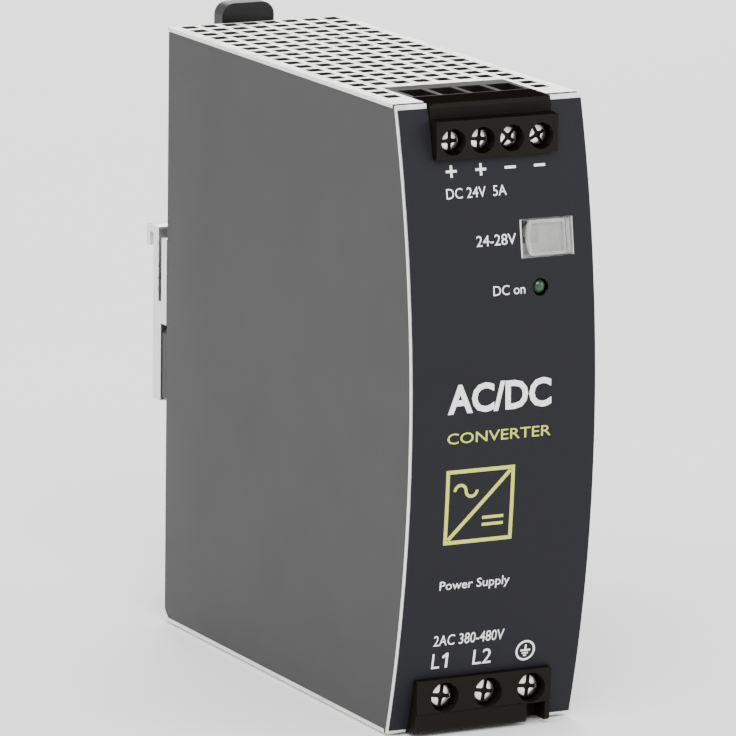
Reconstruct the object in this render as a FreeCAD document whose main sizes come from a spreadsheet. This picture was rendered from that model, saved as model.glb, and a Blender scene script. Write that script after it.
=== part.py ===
import FreeCAD, Part
import os
import re

import Sketcher
from FreeCAD import Placement, Rotation, Vector

# A 40 mm wide rail-mounted power supply. X runs to the right, the front faces -Y and Z is up.
# The origin is the rail datum: the middle of the plane where the rail flanges seat.

SIZES = {
    # housing
    "body_width": 40, "body_height": 124, "base_z": -62.5, "crown_y": -117, "bulge": 8.4,
    "rear_y": -6.4, "sheet": 0.8, "foil": 0.2, "side_wall": 1.5, "edge_cut": 2,
    "grille_front_y": -107.4, "hole_side": 3.2, "pitch_across": 4.6, "pitch_deep": 4.76,
    "hole_rows": 17, "hole_columns": 8, "side_holes": 3, "first_row_y": -84.7,
    "notch_back_y": -89.1, "tab_long": 8, "tab_wide": 9, "tab_x": 12.5,
    # terminal blocks
    "block_front_y": -112.6, "block_back_y": -89.4,
    "output_half": 13.25, "output_low": 113.4, "output_foot": 108, "output_pitch": 6.35,
    "output_screw_z": 116.8, "output_hole": 2.6, "output_head": 2.15, "output_thread": 1.5,
    "output_step": 120.9, "output_set_back": 3, "output_brow": 2.6,
    "input_left": -15.7, "input_right": 13.95, "input_high": 11.1, "input_roof": 16.5,
    "input_pitch": 9.5, "input_screw_z": 7.3, "input_hole": 3, "input_head": 2.4,
    "input_thread": 1.75, "input_step": 4.45, "input_set_back": 0.5,
    "recess": 1.9, "head_long": 1.6, "slot_wide": 0.7, "slot_deep": 0.8,
    "earth_cut_left": 8.8, "earth_cut_right": 12.85, "earth_cut_deep": 5,
    "running_gap": 0.05, "cage_wall": 1.2, "cage_side": 0.45, "cage_tall": 5, "cage_front_y": -102.6,
    "cage_back_y": -93.2, "bar_front_y": -101.2, "bar_thick": 1, "cavity_front_y": -106.8,
    # voltage trimmer, its flap and the status light
    "window_low": 93.5, "window_high": 101, "window_left": 4.35, "window_right": 15.9,
    "lean": 8.7, "flap_left": 5.8, "flap_thick": 0.9, "hinge_x": 15.05, "hinge_deep": 0.6,
    "knuckle": 0.55, "pin": 0.35, "trimmer_x": 9.25, "trimmer_z": 97.4, "rotor": 1.6,
    "light_x": 8.3, "light_z": 87.8, "light_radius": 1.5, "control_y": -104.5, "board": 1.6,
    # rail bracket and latch
    "bracket_half": 19.9, "rail_half": 17.5, "rail_gap": 1.7, "hook_thick": 1.6,
    "leg_front_y": -3.8, "channel_half": 6.8, "latch_half": 6.5, "latch_thick": 2.1,
    "latch_front_y": -6.2, "button_high": 3.4, "button_deep": 4, "button_half": 5.9,
    "button_front_y": -2.6,
    "button_round": 2.75, "stop_low": 21, "stop_high": 23.5, "spring_top": 36,
    "spring_radius": 1.6, "spring_wire": 0.25, "spring_turns": 8,
    # inside
    "screw_shank": 1.5, "screw_room": 1.6, "pan_head": 2.75, "pan_high": 1.9, "recess_half": 1.6,
    "recess_arm": 0.4, "recess_start": 0.8, "cover_screw_in": 5.5, "bracket_screw_z": 10.5,
    "board_x": 14.4, "board_front_y": -103, "board_back_y": -13, "board_half_high": 57,
    "board_head": 2.7, "board_head_high": 1.8, "spacer": 2.8, "spacer_long": 1.7,
    "output_pin_z": 100, "input_pin_z": 22, "pin_step": 1.6,
    "capacitor": 9.5, "choke_ring": 9.5, "choke_wire": 3.1, "coil_wire": 4.2,
}

doc = FreeCAD.newDocument("din_rail_power_supply")
sheet = doc.addObject("Spreadsheet::Sheet", "sizes")
for line, (alias, size) in enumerate(SIZES.items(), start=1):
    sheet.set(f"A{line}", alias)
    sheet.set(f"B{line}", str(size))
    sheet.setAlias(f"B{line}", alias)
doc.recompute()

TOP = "(base_z + body_height)"
MIDDLE = "(base_z + body_height / 2)"
ARC = "((body_height ^ 2 / 4 + bulge ^ 2) / (2 * bulge))"
HALF = "(body_width / 2)"
SCREW_LEVELS = ("base_z + cover_screw_in", f"{TOP} - cover_screw_in", "bracket_screw_z")
TURNS = {
    "x": Rotation(Vector(0, 1, 0), 90),
    "y": Rotation(Vector(1, 0, 0), -90),
    "z": Rotation(),
}
nodes = []


def bind(item, name, text):
    """Bind a property to sizes of the sheet, written by their aliases."""
    words = re.compile(r"[a-z]\w+")
    item.setExpression(name, words.sub(lambda m: "sizes." + m[0] if m[0] in SIZES else m[0], str(text)))


def keep(item, label):
    """Name a finished sub-part and list it for writing."""
    item.Label = label
    nodes.append(item)
    return item


def place(item, x, y, z):
    for axis, text in (("x", x), ("y", y), ("z", z)):
        bind(item, "Placement.Base." + axis, text)
    return item


def box(x, y, z):
    """A block between (low, high) pairs along each axis."""
    item = doc.addObject("Part::Box", "block")
    for name, (low, high) in (("Length", x), ("Width", y), ("Height", z)):
        bind(item, name, f"({high}) - ({low})")
    return place(item, x[0], y[0], z[0])


def rod(axis, radius, start, long):
    """A cylinder that starts at a point and runs along +axis."""
    item = doc.addObject("Part::Cylinder", "rod")
    item.Placement = Placement(Vector(), TURNS[axis])
    bind(item, "Radius", radius)
    bind(item, "Height", long)
    return place(item, *start)


def fuse(*items):
    item = doc.addObject("Part::MultiFuse", "joined")
    item.Shapes = list(items)
    return item


def group(*items):
    """Separate solids that share one node."""
    item = doc.addObject("Part::Compound", "group")
    item.Links = list(items)
    return item


def cut(base, *tools):
    item = doc.addObject("Part::Cut", "trimmed")
    item.Base = base
    item.Tool = tools[0] if len(tools) == 1 else fuse(*tools)
    return item


def common(first, second):
    item = doc.addObject("Part::Common", "shared")
    item.Base = first
    item.Tool = second
    return item


def front_drum(inset):
    """The solid whose front is the convex front surface, set in by a distance."""
    radius = f"{ARC} - ({inset})"
    return rod("x", radius, (f"-{HALF}", f"crown_y + {ARC}", MIDDLE), "body_width")


def value(text):
    """The number that an expression of the sheet gives."""
    bind(gauge, "X", text)
    gauge.recompute()
    return gauge.X.Value


def outline(body, role, corners):
    """A closed sketch through corners, each placed by two bound distances from the origin."""
    sketch = body.newObject("Sketcher::SketchObject", "outline")
    plane = next(item for item in body.Origin.OriginFeatures if item.Role == role)
    sketch.AttachmentSupport = (plane, [""])
    sketch.MapMode = "FlatFace"
    points = [Vector(value(a), value(b), 0) for a, b in corners]
    for index, point in enumerate(points):
        sketch.addGeometry(Part.LineSegment(point, points[(index + 1) % len(points)]))
    for index in range(len(points)):
        sketch.addConstraint(Sketcher.Constraint("Coincident", index, 2, (index + 1) % len(points), 1))
    for index, (point, texts) in enumerate(zip(points, corners)):
        for kind, number, text in zip(("DistanceX", "DistanceY"), point, texts):
            row = sketch.addConstraint(Sketcher.Constraint(kind, -1, 1, index, 1, number))
            name = f"corner{index}{kind[-1]}"
            sketch.renameConstraint(row, name)
            bind(sketch, "Constraints." + name, text)
    return sketch


def extrusion(label, role, corners, long):
    """A padded outline, even about its sketch plane."""
    body = doc.addObject("PartDesign::Body", label)
    pad = body.newObject("PartDesign::Pad", "pad")
    pad.Profile = outline(body, role, corners)
    pad.Midplane = True
    bind(pad, "Length", long)
    return body


def pocket(body, role, corners, long):
    """An outline cut through the body, even about its sketch plane."""
    feature = body.newObject("PartDesign::Pocket", "pocket")
    feature.Profile = outline(body, role, corners)
    feature.Midplane = True
    bind(feature, "Length", long)
    return feature


def rectangle(x, y):
    return [(x[0], y[0]), (x[1], y[0]), (x[1], y[1]), (x[0], y[1])]


gauge = doc.addObject("Part::Vertex", "gauge")

# The flap, its frame and the window lie in the leaning plane of the front at their height.
WINDOW_Z = "(base_z + (window_low + window_high) / 2)"
WINDOW_HALF = "((window_high - window_low) / 2)"
WINDOW_Y = f"(crown_y + {ARC} - sqrt({ARC} ^ 2 - ({WINDOW_Z} - {MIDDLE}) ^ 2))"


def tilt(item):
    """Move a piece from the window's own axes into the leaning plane of the window."""
    holder = doc.addObject("Part::Compound", "tilted")
    holder.Links = [item]
    holder.Placement = Placement(Vector(), Rotation(Vector(1, 0, 0), -SIZES["lean"]))
    return place(holder, "0", WINDOW_Y, WINDOW_Z)


def housing_body():
    """Aluminium sides and back, with the cut corners at the rear."""
    shell = box((f"-{HALF}", HALF), ("crown_y", "rear_y"), ("base_z + sheet", f"{TOP} - sheet"))
    shell = common(shell, front_drum("foil + sheet + 0.05"))
    inside = box((f"side_wall - {HALF}", f"{HALF} - side_wall"), ("crown_y - 1", "rear_y - side_wall"),
                 ("base_z", TOP))
    corners = []
    for level, size in (("base_z + sheet", "edge_cut"), (f"{TOP} - sheet", "edge_cut / 3")):
        edge = box((f"-{HALF} - 1", f"{HALF} + 1"), ("0", f"2 * {size}"), ("0", f"2 * {size}"))
        edge.Placement = Placement(Vector(), Rotation(Vector(1, 0, 0), 45))
        corners.append(place(edge, f"-{HALF} - 1", "rear_y", f"{level} - 1.4142 * {size}"))
    holes = [rod("y", "screw_room", (f"{side} * tab_x", "rear_y - side_wall - 1", level), "side_wall + 2")
             for side in (-1, 1) for level in SCREW_LEVELS]
    keep(cut(shell, inside, *corners, *holes), "housing_body")


def grille(label, face, inward, notch):
    """A perforated sheet with two bent tabs: one solid, and an arm on each side of the notch."""
    body = extrusion(label + "_sheet", "XY_Plane",
                     rectangle((f"-{HALF}", HALF), ("grille_front_y", "rear_y")), "sheet")
    pocket(body, "XY_Plane", rectangle((notch[0], notch[1]), ("grille_front_y - 1", "notch_back_y")), "4")
    place(body, "0", "0", f"{face} + {inward} * sheet / 2")
    depth = (f"{face} - 2", f"{face} + 2")
    wide = (f"-{HALF} + 1", f"{HALF} - 1")
    columns = [box((f"({index} - (hole_columns - 1) / 2) * pitch_across - hole_side / 2",
                    f"({index} - (hole_columns - 1) / 2) * pitch_across + hole_side / 2"),
                   ("crown_y", "rear_y"), depth) for index in range(SIZES["hole_columns"])]
    rows = [box(wide, (f"first_row_y + {index} * pitch_deep - hole_side / 2",
                       f"first_row_y + {index} * pitch_deep + hole_side / 2"), depth)
            for index in range(-SIZES["side_holes"], SIZES["hole_rows"])]
    beside = SIZES["side_holes"]
    holes = [common(group(*columns), group(*rows[beside:])),
             common(group(columns[0], columns[-1]), group(*rows[:beside]))]
    inner = [f"{face} + {inward} * sheet", f"{face} + {inward} * tab_long"]
    if inward < 0:
        inner.reverse()
    tabs = [box((f"{side} * tab_x - tab_wide / 2", f"{side} * tab_x + tab_wide / 2"),
                ("rear_y - side_wall - sheet", "rear_y - side_wall"), inner) for side in (-1, 1)]
    level = f"{face} + {inward} * cover_screw_in"
    start = "rear_y - side_wall - sheet - 1"
    holes += [rod("y", "screw_shank", (f"{side} * tab_x", start, level), "sheet + 2") for side in (-1, 1)]
    whole = cut(fuse(body, *tabs), *holes)
    around = (f"{face} - tab_long - 1", f"{face} + tab_long + 1")
    areas = [((f"-{HALF}", HALF), ("notch_back_y", "rear_y")),
             ((f"-{HALF}", notch[0]), ("grille_front_y", "notch_back_y")),
             ((notch[1], HALF), ("grille_front_y", "notch_back_y"))]
    keep(group(*[common(whole, box(x, y, around)) for x, y in areas]), label)


def front_cuts(gap):
    """Terminal notches, flap window and light hole through the front, with room around them."""
    return (
        box((f"-output_half - {gap}", f"output_half + {gap}"), ("crown_y - 1", "-100"),
            (f"base_z + output_low - {gap}", f"{TOP} + 1")),
        box((f"input_left - {gap}", f"input_right + {gap}"), ("crown_y - 1", "-100"),
            ("base_z - 1", f"base_z + input_high + {gap}")),
        tilt(box((f"window_left - {gap}", f"window_right + {gap}"), ("-3", "6"),
                 (f"-{WINDOW_HALF} - {gap}", f"{WINDOW_HALF} + {gap}"))),
        rod("y", f"light_radius + 0.2 + {gap}", ("light_x", "crown_y - 1", "base_z + light_z"), "12"),
    )


def front_panel():
    """The convex zinc-plated front sheet."""
    blank = box((f"-{HALF}", HALF), ("crown_y - 1", "-100"), ("base_z", TOP))
    keep(cut(common(blank, front_drum("foil")), front_drum("foil + sheet"), *front_cuts("0")), "front_panel")


def front_foil():
    """The dark printed foil that leaves the sheet's edges bare."""
    blank = box((f"-{HALF} + 0.6", f"{HALF} - 0.3"), ("crown_y - 1", "-100"),
                ("base_z + 0.7", f"{TOP} - 1.3"))
    keep(cut(common(blank, front_drum("0")), front_drum("foil"), *front_cuts("0.1")), "front_foil")


def cover_screws():
    """Pan-head screws through the back wall into the tabs of the two grilles."""
    screws = []
    for side in (-1, 1):
        for level in SCREW_LEVELS[:2]:
            x = f"{side} * tab_x"
            head = rod("y", "pan_head", (x, "rear_y", level), "pan_high")
            shank = rod("y", "screw_shank", (x, "rear_y - 6", level), "6")
            deep = ("rear_y + recess_start", "rear_y + pan_high + 1")
            cross = box((f"{x} - recess_arm", f"{x} + recess_arm"), deep,
                        (f"{level} - recess_half", f"{level} + recess_half"))
            arm = box((f"{x} - recess_half", f"{x} + recess_half"), deep,
                      (f"{level} - recess_arm", f"{level} + recess_arm"))
            screws.append(cut(fuse(head, shank), cross, arm))
    keep(group(*screws), "cover_screws")


def clamp(kind, index, x, screw, sizes):
    """One rising-cage clamp: the screw that turns and the cage that it draws forward."""
    face = "block_front_y + recess"
    head = rod("y", sizes["head"], (x, face, screw), "head_long")
    shank = rod("y", sizes["thread"], (x, f"{face} + head_long", screw),
                "bar_front_y - running_gap - block_front_y - recess - head_long")
    slot = box((f"{x} - slot_wide / 2", f"{x} + slot_wide / 2"), (f"{face} - 1", f"{face} + slot_deep"),
               (f"{screw} - {sizes['head']} - 1", f"{screw} + {sizes['head']} + 1"))
    cross = box((f"{x} - {sizes['head']} * 0.6", f"{x} + {sizes['head']} * 0.6"),
                (f"{face} - 1", f"{face} + slot_deep"),
                (f"{screw} - slot_wide / 2", f"{screw} + slot_wide / 2"))
    keep(cut(fuse(head, shank), slot, cross), f"{kind}_screw_{index}")
    half = sizes["cage_half"]
    low, high = f"{screw} - cage_tall / 2", f"{screw} + cage_tall / 2"
    cage = box((f"{x} - {half}", f"{x} + {half}"), ("cage_front_y", "cage_back_y"), (low, high))
    inner = box((f"{x} - {half} + cage_side", f"{x} + {half} - cage_side"),
                ("cage_front_y + cage_wall", "cage_back_y - cage_wall"), (f"{low} - 1", f"{high} + 1"))
    bore = rod("y", f"{sizes['thread']} + running_gap", (x, "cage_front_y - 1", screw), "cage_wall + 2")
    keep(cut(cage, inner, bore), f"{kind}_cage_{index}")


def pole_cuts(x, screw, sizes, mouth):
    """The screw hole, the cage's cavity and the wire funnel of one pole."""
    half = sizes["cage_half"]
    return [
        rod("y", sizes["hole"], (x, "block_front_y - 1", screw), "recess + 1 + head_long"),
        rod("y", f"{sizes['thread']} + running_gap", (x, "block_front_y", screw), "8"),
        box((f"{x} - {half} - 0.1", f"{x} + {half} + 0.1"), ("cavity_front_y", "cage_back_y + 0.6"),
            (f"{screw} - cage_tall / 2 - 1", f"{screw} + cage_tall / 2 + 1")),
        box((f"{x} - {half} + 0.2", f"{x} + {half} - 0.2"), ("bar_front_y + 0.6", "cage_back_y - 0.6"),
            mouth),
    ]


def bars(label, columns, screw, sizes, tail):
    """The fixed current bars, one through each cage, with a pin that turns to the board."""
    items = []
    for step, x in enumerate(columns):
        half = f"({sizes['cage_half']} - cage_side - 0.1)"
        back = "bar_front_y + bar_thick"
        bar = box((f"{x} - {half}", f"{x} + {half}"), ("bar_front_y", back),
                  (f"{screw} - cage_tall / 2 - 0.9", f"{screw} + cage_tall / 2 + 0.9"))
        low = f"{tail} + {step} * pin_step * {sizes['away']}"
        ends = (low, f"{screw}") if sizes["away"] > 0 else (screw, f"{low} + 1")
        stem = box((f"{x} - 0.8", f"{x} + 0.8"), ("bar_front_y", back), ends)
        pin = box((f"{x} - 0.8", "board_x"), ("bar_front_y", back), (low, f"{low} + 1"))
        items.append(fuse(bar, stem, pin))
    keep(group(*items), label)


OUTPUT = {"hole": "output_hole", "head": "output_head", "thread": "output_thread", "cage_half": "2.55",
          "away": 1}
INPUT = {"hole": "input_hole", "head": "input_head", "thread": "input_thread", "cage_half": "3.4",
         "away": -1}


def output_terminals():
    """The top block: four screws at the front, four wire funnels from above."""
    screw = "(base_z + output_screw_z)"
    columns = [f"{rank} * output_pitch" for rank in (-1.5, -0.5, 0.5, 1.5)]
    upper = box(("-output_half + 0.1", "output_half - 0.1"), ("block_front_y", "block_back_y"),
                ("base_z + output_low + 0.1", TOP))
    lower = box(("-output_half + 0.1", "output_half - 0.1"), ("block_front_y + output_brow", "block_back_y"),
                ("base_z + output_foot", "base_z + output_low + 0.1"))
    step = box(("-output_half", "output_half"), ("block_front_y - 1", "block_front_y + output_set_back"),
               ("base_z + output_step", f"{TOP} + 1"))
    tools = [step]
    for x in columns:
        tools += pole_cuts(x, screw, OUTPUT, (screw, f"{TOP} + 1"))
        tools.append(box((f"{x} - 0.9", f"{x} + 0.9"),
                         ("bar_front_y - 0.1", "bar_front_y + bar_thick + 0.1"),
                         ("base_z + output_foot - 1", screw)))
    keep(cut(fuse(upper, lower), *tools), "output_terminal_block")
    for index, x in enumerate(columns, start=1):
        clamp("output", index, x, screw, OUTPUT)
    bars("output_bars", columns, screw, OUTPUT, "base_z + output_pin_z")


def input_terminals():
    """The bottom block: three screws at the front, three wire funnels from below."""
    screw = "(base_z + input_screw_z)"
    columns = [f"{rank} * input_pitch" for rank in (-1, 0, 1)]
    upper = box(("input_left + 0.1", "input_right - 0.1"), ("block_front_y + output_brow", "block_back_y"),
                ("base_z + input_high - 0.1", "base_z + input_roof"))
    lower = box(("input_left + 0.1", "input_right - 0.1"), ("block_front_y", "block_back_y"),
                ("base_z + 0.3", "base_z + input_high - 0.1"))
    step = box(("input_left", "input_right"), ("block_front_y - 1", "block_front_y + input_set_back"),
               ("base_z", "base_z + input_step"))
    earth = box(("earth_cut_left", "earth_cut_right"),
                ("block_front_y - 1", "block_front_y + earth_cut_deep"),
                ("base_z", "base_z + input_step - 0.4"))
    tools = [step, earth]
    for x in columns:
        tools += pole_cuts(x, screw, INPUT, ("base_z - 1", screw))
        tools.append(box((f"{x} - 0.9", f"{x} + 0.9"),
                         ("bar_front_y - 0.1", "bar_front_y + bar_thick + 0.1"),
                         (screw, "base_z + input_roof + 1")))
    keep(cut(fuse(upper, lower), *tools), "input_terminal_block")
    for index, x in enumerate(columns, start=1):
        clamp("input", index, x, screw, INPUT)
    bars("input_bars", columns, screw, INPUT, "base_z + input_pin_z")


def trimmer():
    """The clear flap, the pocket behind it, and the trimmer that it covers."""
    plate = box(("flap_left", "hinge_x"), ("0.1", "0.1 + flap_thick"),
                (f"-{WINDOW_HALF} + 0.45", f"{WINDOW_HALF} - 0.45"))
    ears = [box(("hinge_x - knuckle - 0.35", "hinge_x + 1"), ("0", "3"), ends) for ends in
            ((f"-{WINDOW_HALF}", f"0.85 - {WINDOW_HALF}"), (f"{WINDOW_HALF} - 0.85", WINDOW_HALF))]
    knuckle = rod("z", "knuckle", ("hinge_x", "hinge_deep", f"0.85 - {WINDOW_HALF}"),
                  f"2 * {WINDOW_HALF} - 1.7")
    hinge_pin = rod("z", "pin", ("hinge_x", "hinge_deep", f"0.35 - {WINDOW_HALF}"),
                    f"2 * {WINDOW_HALF} - 0.7")
    keep(tilt(fuse(cut(plate, *ears), knuckle, hinge_pin)), "trimmer_flap")

    flange = box(("3.2", "17"), ("1.1", "2"), (f"-{WINDOW_HALF} - 1.2", f"{WINDOW_HALF} + 1.2"))
    pocket_wall = box(("4.2", "16.8"), ("2", "5.4"), (f"-{WINDOW_HALF} - 0.4", f"{WINDOW_HALF} + 0.4"))
    hollow = box(("5", "15.95"), ("0", "6"), (f"-{WINDOW_HALF} + 0.4", f"{WINDOW_HALF} - 0.4"))
    rim = box(("window_left + 0.05", "5"), ("0.1", "1.1"),
              (f"-{WINDOW_HALF} + 0.05", f"{WINDOW_HALF} - 0.05"))
    posts = [box(("hinge_x - knuckle", "window_right - 0.05"), ("0.1", "5"), ends) for ends in
             ((f"0.05 - {WINDOW_HALF}", f"0.75 - {WINDOW_HALF}"),
              (f"{WINDOW_HALF} - 0.75", f"{WINDOW_HALF} - 0.05"))]
    bore = rod("z", "pin + running_gap", ("hinge_x", "hinge_deep", f"0.3 - {WINDOW_HALF}"),
               f"2 * {WINDOW_HALF} - 0.6")
    frame = fuse(cut(fuse(flange, pocket_wall), hollow), rim, *posts)
    keep(tilt(cut(frame, bore)), "flap_frame")

    z = "(base_z + trimmer_z)"
    case = box(("trimmer_x - 2.5", "trimmer_x + 2.5"), ("-107.8", "control_y"), (f"{z} - 2.5", f"{z} + 2.5"))
    socket = rod("y", "0.85", ("trimmer_x", "-109", z), "2.8")
    keep(cut(case, socket), "trimmer_case")
    disc = rod("y", "rotor", ("trimmer_x", "-108.7", z), "0.85")
    stub = rod("y", "0.8", ("trimmer_x", "-107.9", z), "1.5")
    slot = box(("trimmer_x - 0.3", "trimmer_x + 0.3"), ("-110", "-108.2"), (f"{z} - 3", f"{z} + 3"))
    keep(cut(fuse(disc, stub), slot), "trimmer_rotor")


def status_light():
    """A domed light on two leads, standing on the control board."""
    z = "(base_z + light_z)"
    body = rod("y", "light_radius", ("light_x", "-114.1", z), "5")
    dome = doc.addObject("Part::Sphere", "dome")
    bind(dome, "Radius", "light_radius")
    place(dome, "light_x", "-114.1", z)
    flange = rod("y", "light_radius + 0.3", ("light_x", "-110.1", z), "1")
    leads = [box((f"light_x + {side} - 0.25", f"light_x + {side} + 0.25"), ("-109.1", "control_y"),
                 (f"{z} - 0.25", f"{z} + 0.25")) for side in (-1.27, 1.27)]
    keep(fuse(body, dome, flange, *leads), "status_light")
    keep(box(("-12", "13.8"), ("control_y", "control_y + 1.2"), ("base_z + 80", "base_z + 105")),
         "control_board")


def rail_bracket():
    """Aluminium extrusion with the upper rail hook, milled in the middle for the latch."""
    hook = "(rail_half + 0.35)"
    profile = [
        ("rear_y", "-0.5"), ("leg_front_y", "-0.5"), ("leg_front_y", "-rail_half + 0.7"),
        ("0", "-rail_half + 0.7"), ("0", hook), ("rail_gap", hook), ("rail_gap", f"{hook} - 3"),
        ("rail_gap + hook_thick", f"{hook} - 3"), ("rail_gap + hook_thick", f"{hook} + hook_thick"),
        ("-2.5", f"{hook} + hook_thick"), ("-2.5", "4"), ("-3.9", "4"), ("-3.9", "rail_half"),
        ("rear_y", "rail_half"),
    ]
    body = extrusion("bracket_profile", "YZ_Plane", profile, "2 * bracket_half")
    channel = box(("-channel_half", "channel_half"), ("rear_y - 1", "-3.7"), ("-1", "rail_half + 1"))
    holes = [rod("y", "screw_shank", (f"{side} * tab_x", "rear_y - 1", "bracket_screw_z"), "3.6")
             for side in (-1, 1)]
    keep(cut(body, channel, *holes), "rail_bracket")
    inner = "rear_y - side_wall"
    screws = []
    for side in (-1, 1):
        x = f"{side} * tab_x"
        head = rod("y", "pan_head", (x, f"{inner} - pan_high", "bracket_screw_z"), "pan_high")
        shank = rod("y", "screw_shank", (x, inner, "bracket_screw_z"), "side_wall + 2.3")
        screws.append(fuse(head, shank))
    keep(group(*screws), "bracket_screws")


def latch():
    """The sprung slider: push button above, stem, wide foot and the hook under the rail."""
    back = "(latch_front_y + latch_thick)"
    foot = "(bracket_half - 0.2)"
    plate = extrusion("latch_plate", "XZ_Plane", [
        ("-latch_half", f"{TOP} - 6"), ("-latch_half", "-1.2"), (f"-{foot} + 1.2", "-1.2"),
        (f"-{foot}", "-2.4"),
        (f"-{foot}", "-rail_half + 1.7"), (f"-{foot} + 1.2", "-rail_half + 0.5"), ("-8", "-rail_half + 0.5"),
        ("-8", "-rail_half - 3.6"), ("8", "-rail_half - 3.6"), ("8", "-rail_half + 0.5"),
        (f"{foot} - 1.2", "-rail_half + 0.5"), (foot, "-rail_half + 1.7"), (foot, "-2.4"),
        (f"{foot} - 1.2", "-1.2"), ("latch_half", "-1.2"), ("latch_half", f"{TOP} - 6"),
    ], "latch_thick")
    place(plate, "0", "latch_front_y + latch_thick / 2", "0")
    nose = extrusion("latch_nose", "YZ_Plane", [
        ("latch_front_y", "-rail_half - 0.4"), ("latch_front_y", "-rail_half - 3.6"),
        ("rail_gap + 0.4", "-rail_half - 3.6"), ("rail_gap + hook_thick", "-rail_half - 1.8"),
        ("rail_gap + hook_thick", "-rail_half + 0.9"), ("rail_gap + 0.5", "-rail_half + 2.2"),
        ("rail_gap", "-rail_half + 2.2"), ("rail_gap", "-rail_half - 0.4"),
    ], "16")
    top = f"({TOP} + button_high)"
    deep = ("button_front_y", "button_front_y + button_deep")
    round_x, round_z = "(button_half - button_round)", f"{top} - button_round"
    button = fuse(box(("-button_half", "button_half"), deep, (f"{TOP} - 7", round_z)),
                  box((f"-{round_x}", round_x), deep, (f"{TOP} - 7", top)),
                  rod("y", "button_round", (f"-{round_x}", "button_front_y", round_z), "button_deep"),
                  rod("y", "button_round", (round_x, "button_front_y", round_z), "button_deep"))
    link = box(("-button_half", "button_half"), ("latch_front_y", "button_front_y"),
               (f"{TOP} - 7", f"{TOP} - 2"))
    window = box(("-2.9", "2.9"), ("latch_front_y - 1", f"{back} + 1"), ("stop_low - 0.1", "spring_top"))
    keep(cut(fuse(plate, nose, link, button), window), "rail_latch")

    keep(box(("-2.4", "2.4"), ("rear_y", "-2.4"), ("stop_low", "stop_high")), "spring_stop")
    coil = doc.addObject("Part::Helix", "spring_line")
    bind(coil, "Pitch", "(spring_top - stop_high - 0.7) / spring_turns")
    bind(coil, "Height", "spring_top - stop_high - 0.7")
    bind(coil, "Radius", "spring_radius")
    wire = doc.addObject("Part::Circle", "spring_section")
    bind(wire, "Radius", "spring_wire")
    wire.Placement = Placement(Vector(), Rotation(Vector(1, 0, 0), 90))
    bind(wire, "Placement.Base.x", "spring_radius")
    spring = doc.addObject("Part::Sweep", "spring")
    spring.Sections = [wire]
    spring.Spine = (coil, ["Edge1"])
    spring.Solid = True
    spring.Frenet = True
    keep(place(spring, "0", "-4.3", "stop_high + 0.35"), "latch_spring")

    bridge = box(("-9.2", "9.2"), ("rear_y", "-2.6"), ("46", "51"))
    under = box(("-channel_half", "channel_half"), ("rear_y - 1", "-3.7"), ("45", "52"))
    keep(cut(bridge, under), "latch_guide")


def boards():
    """The main board beside the right wall, its foil, spacers and screws."""
    spots = [("-97", "-40"), ("-97", "15"), ("-18", "-40"), ("-18", "40")]
    board = extrusion("board_blank", "YZ_Plane", rectangle(("board_front_y", "board_back_y"),
                                                           ("-board_half_high", "board_half_high")), "board")
    place(board, "board_x + board / 2", "0", "0")
    holes = [rod("x", "screw_room", ("board_x - 1", y, z), "board + 2") for y, z in spots]
    keep(cut(board, *holes), "main_board")
    back = "board_x + board + spacer_long"
    keep(box((back, f"{back} + 0.3"), ("board_front_y + 1", "board_back_y - 1"),
             ("1 - board_half_high", "board_half_high - 1")), "insulation_foil")
    spacers = [cut(rod("x", "spacer", ("board_x + board", y, z), "spacer_long"),
                   rod("x", "screw_shank", ("board_x", y, z), "6")) for y, z in spots]
    keep(group(*spacers), "board_spacers")
    screws = [fuse(rod("x", "board_head", ("board_x - board_head_high", y, z), "board_head_high"),
                   rod("x", "screw_shank", ("board_x", y, z), "board + spacer_long - 0.1")) for y, z in spots]
    keep(group(*screws), "board_screws")


def tall(y, z, radius, long):
    """A round component that stands on the main board."""
    return rod("x", radius, (f"board_x - {long}", y, z), long)


def ring(y, z, x, radius, wire, sweep=None):
    item = doc.addObject("Part::Torus", "ring")
    bind(item, "Radius1", radius)
    bind(item, "Radius2", wire)
    turn = TURNS["x"]
    if sweep:
        item.Angle3 = sweep[1]
        turn = turn.multiply(Rotation(Vector(0, 0, 1), sweep[0]))
    item.Placement = Placement(Vector(), turn)
    return place(item, x, y, z)


def choke(label, y, z, x):
    """A ring core with its two windings."""
    keep(ring(y, z, x, "choke_ring", "choke_wire"), label + "_core")
    hull = [cut(ring(y, z, x, "choke_ring", "coil_wire", (start, 140)),
                ring(y, z, x, "choke_ring", "choke_wire")) for start in (20, 200)]
    keep(group(*hull), label + "_winding")


# Where the loose components stand, as (x, y, z) pairs in mm; None stands for the main board's face.
BLOCKS = {
    "surge_discs": [((1, None), (y, y + 4.5), (-57, -42)) for y in (-86, -79, -72)],
    "filter_capacitors": [((-4, None), (-31, -21.5), (-56, -30)), ((-4, None), (-20.5, -13.5), (-56, -45))],
    "bridge_rectifier": [((-6, None), (-97, -92.5), (-30, -12))],
    "power_transistors": [((-8, 8), (-43, -38), (z, z + 14)) for z in (19, 35)],
    "output_rectifiers": [((-8, 8), (-36, -31), (z, z + 14)) for z in (19, 35)],
    "optocouplers": [((10.8, None), (-76, -69.5), (z, z + 5)) for z in (-4, 4)],
}
# Round components as (y, z, radius, height) above the main board's face.
CANS = {
    "input_fuses": [(y, -34, 4.2, 9) for y in (-82, -72)],
    "bulk_capacitors": [(-22, z, "capacitor", 30) for z in (-18, 2)],
    "output_capacitors": [(y, z, 5, 24) for y in (-80, -91) for z in (26, 38)],
}


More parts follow.
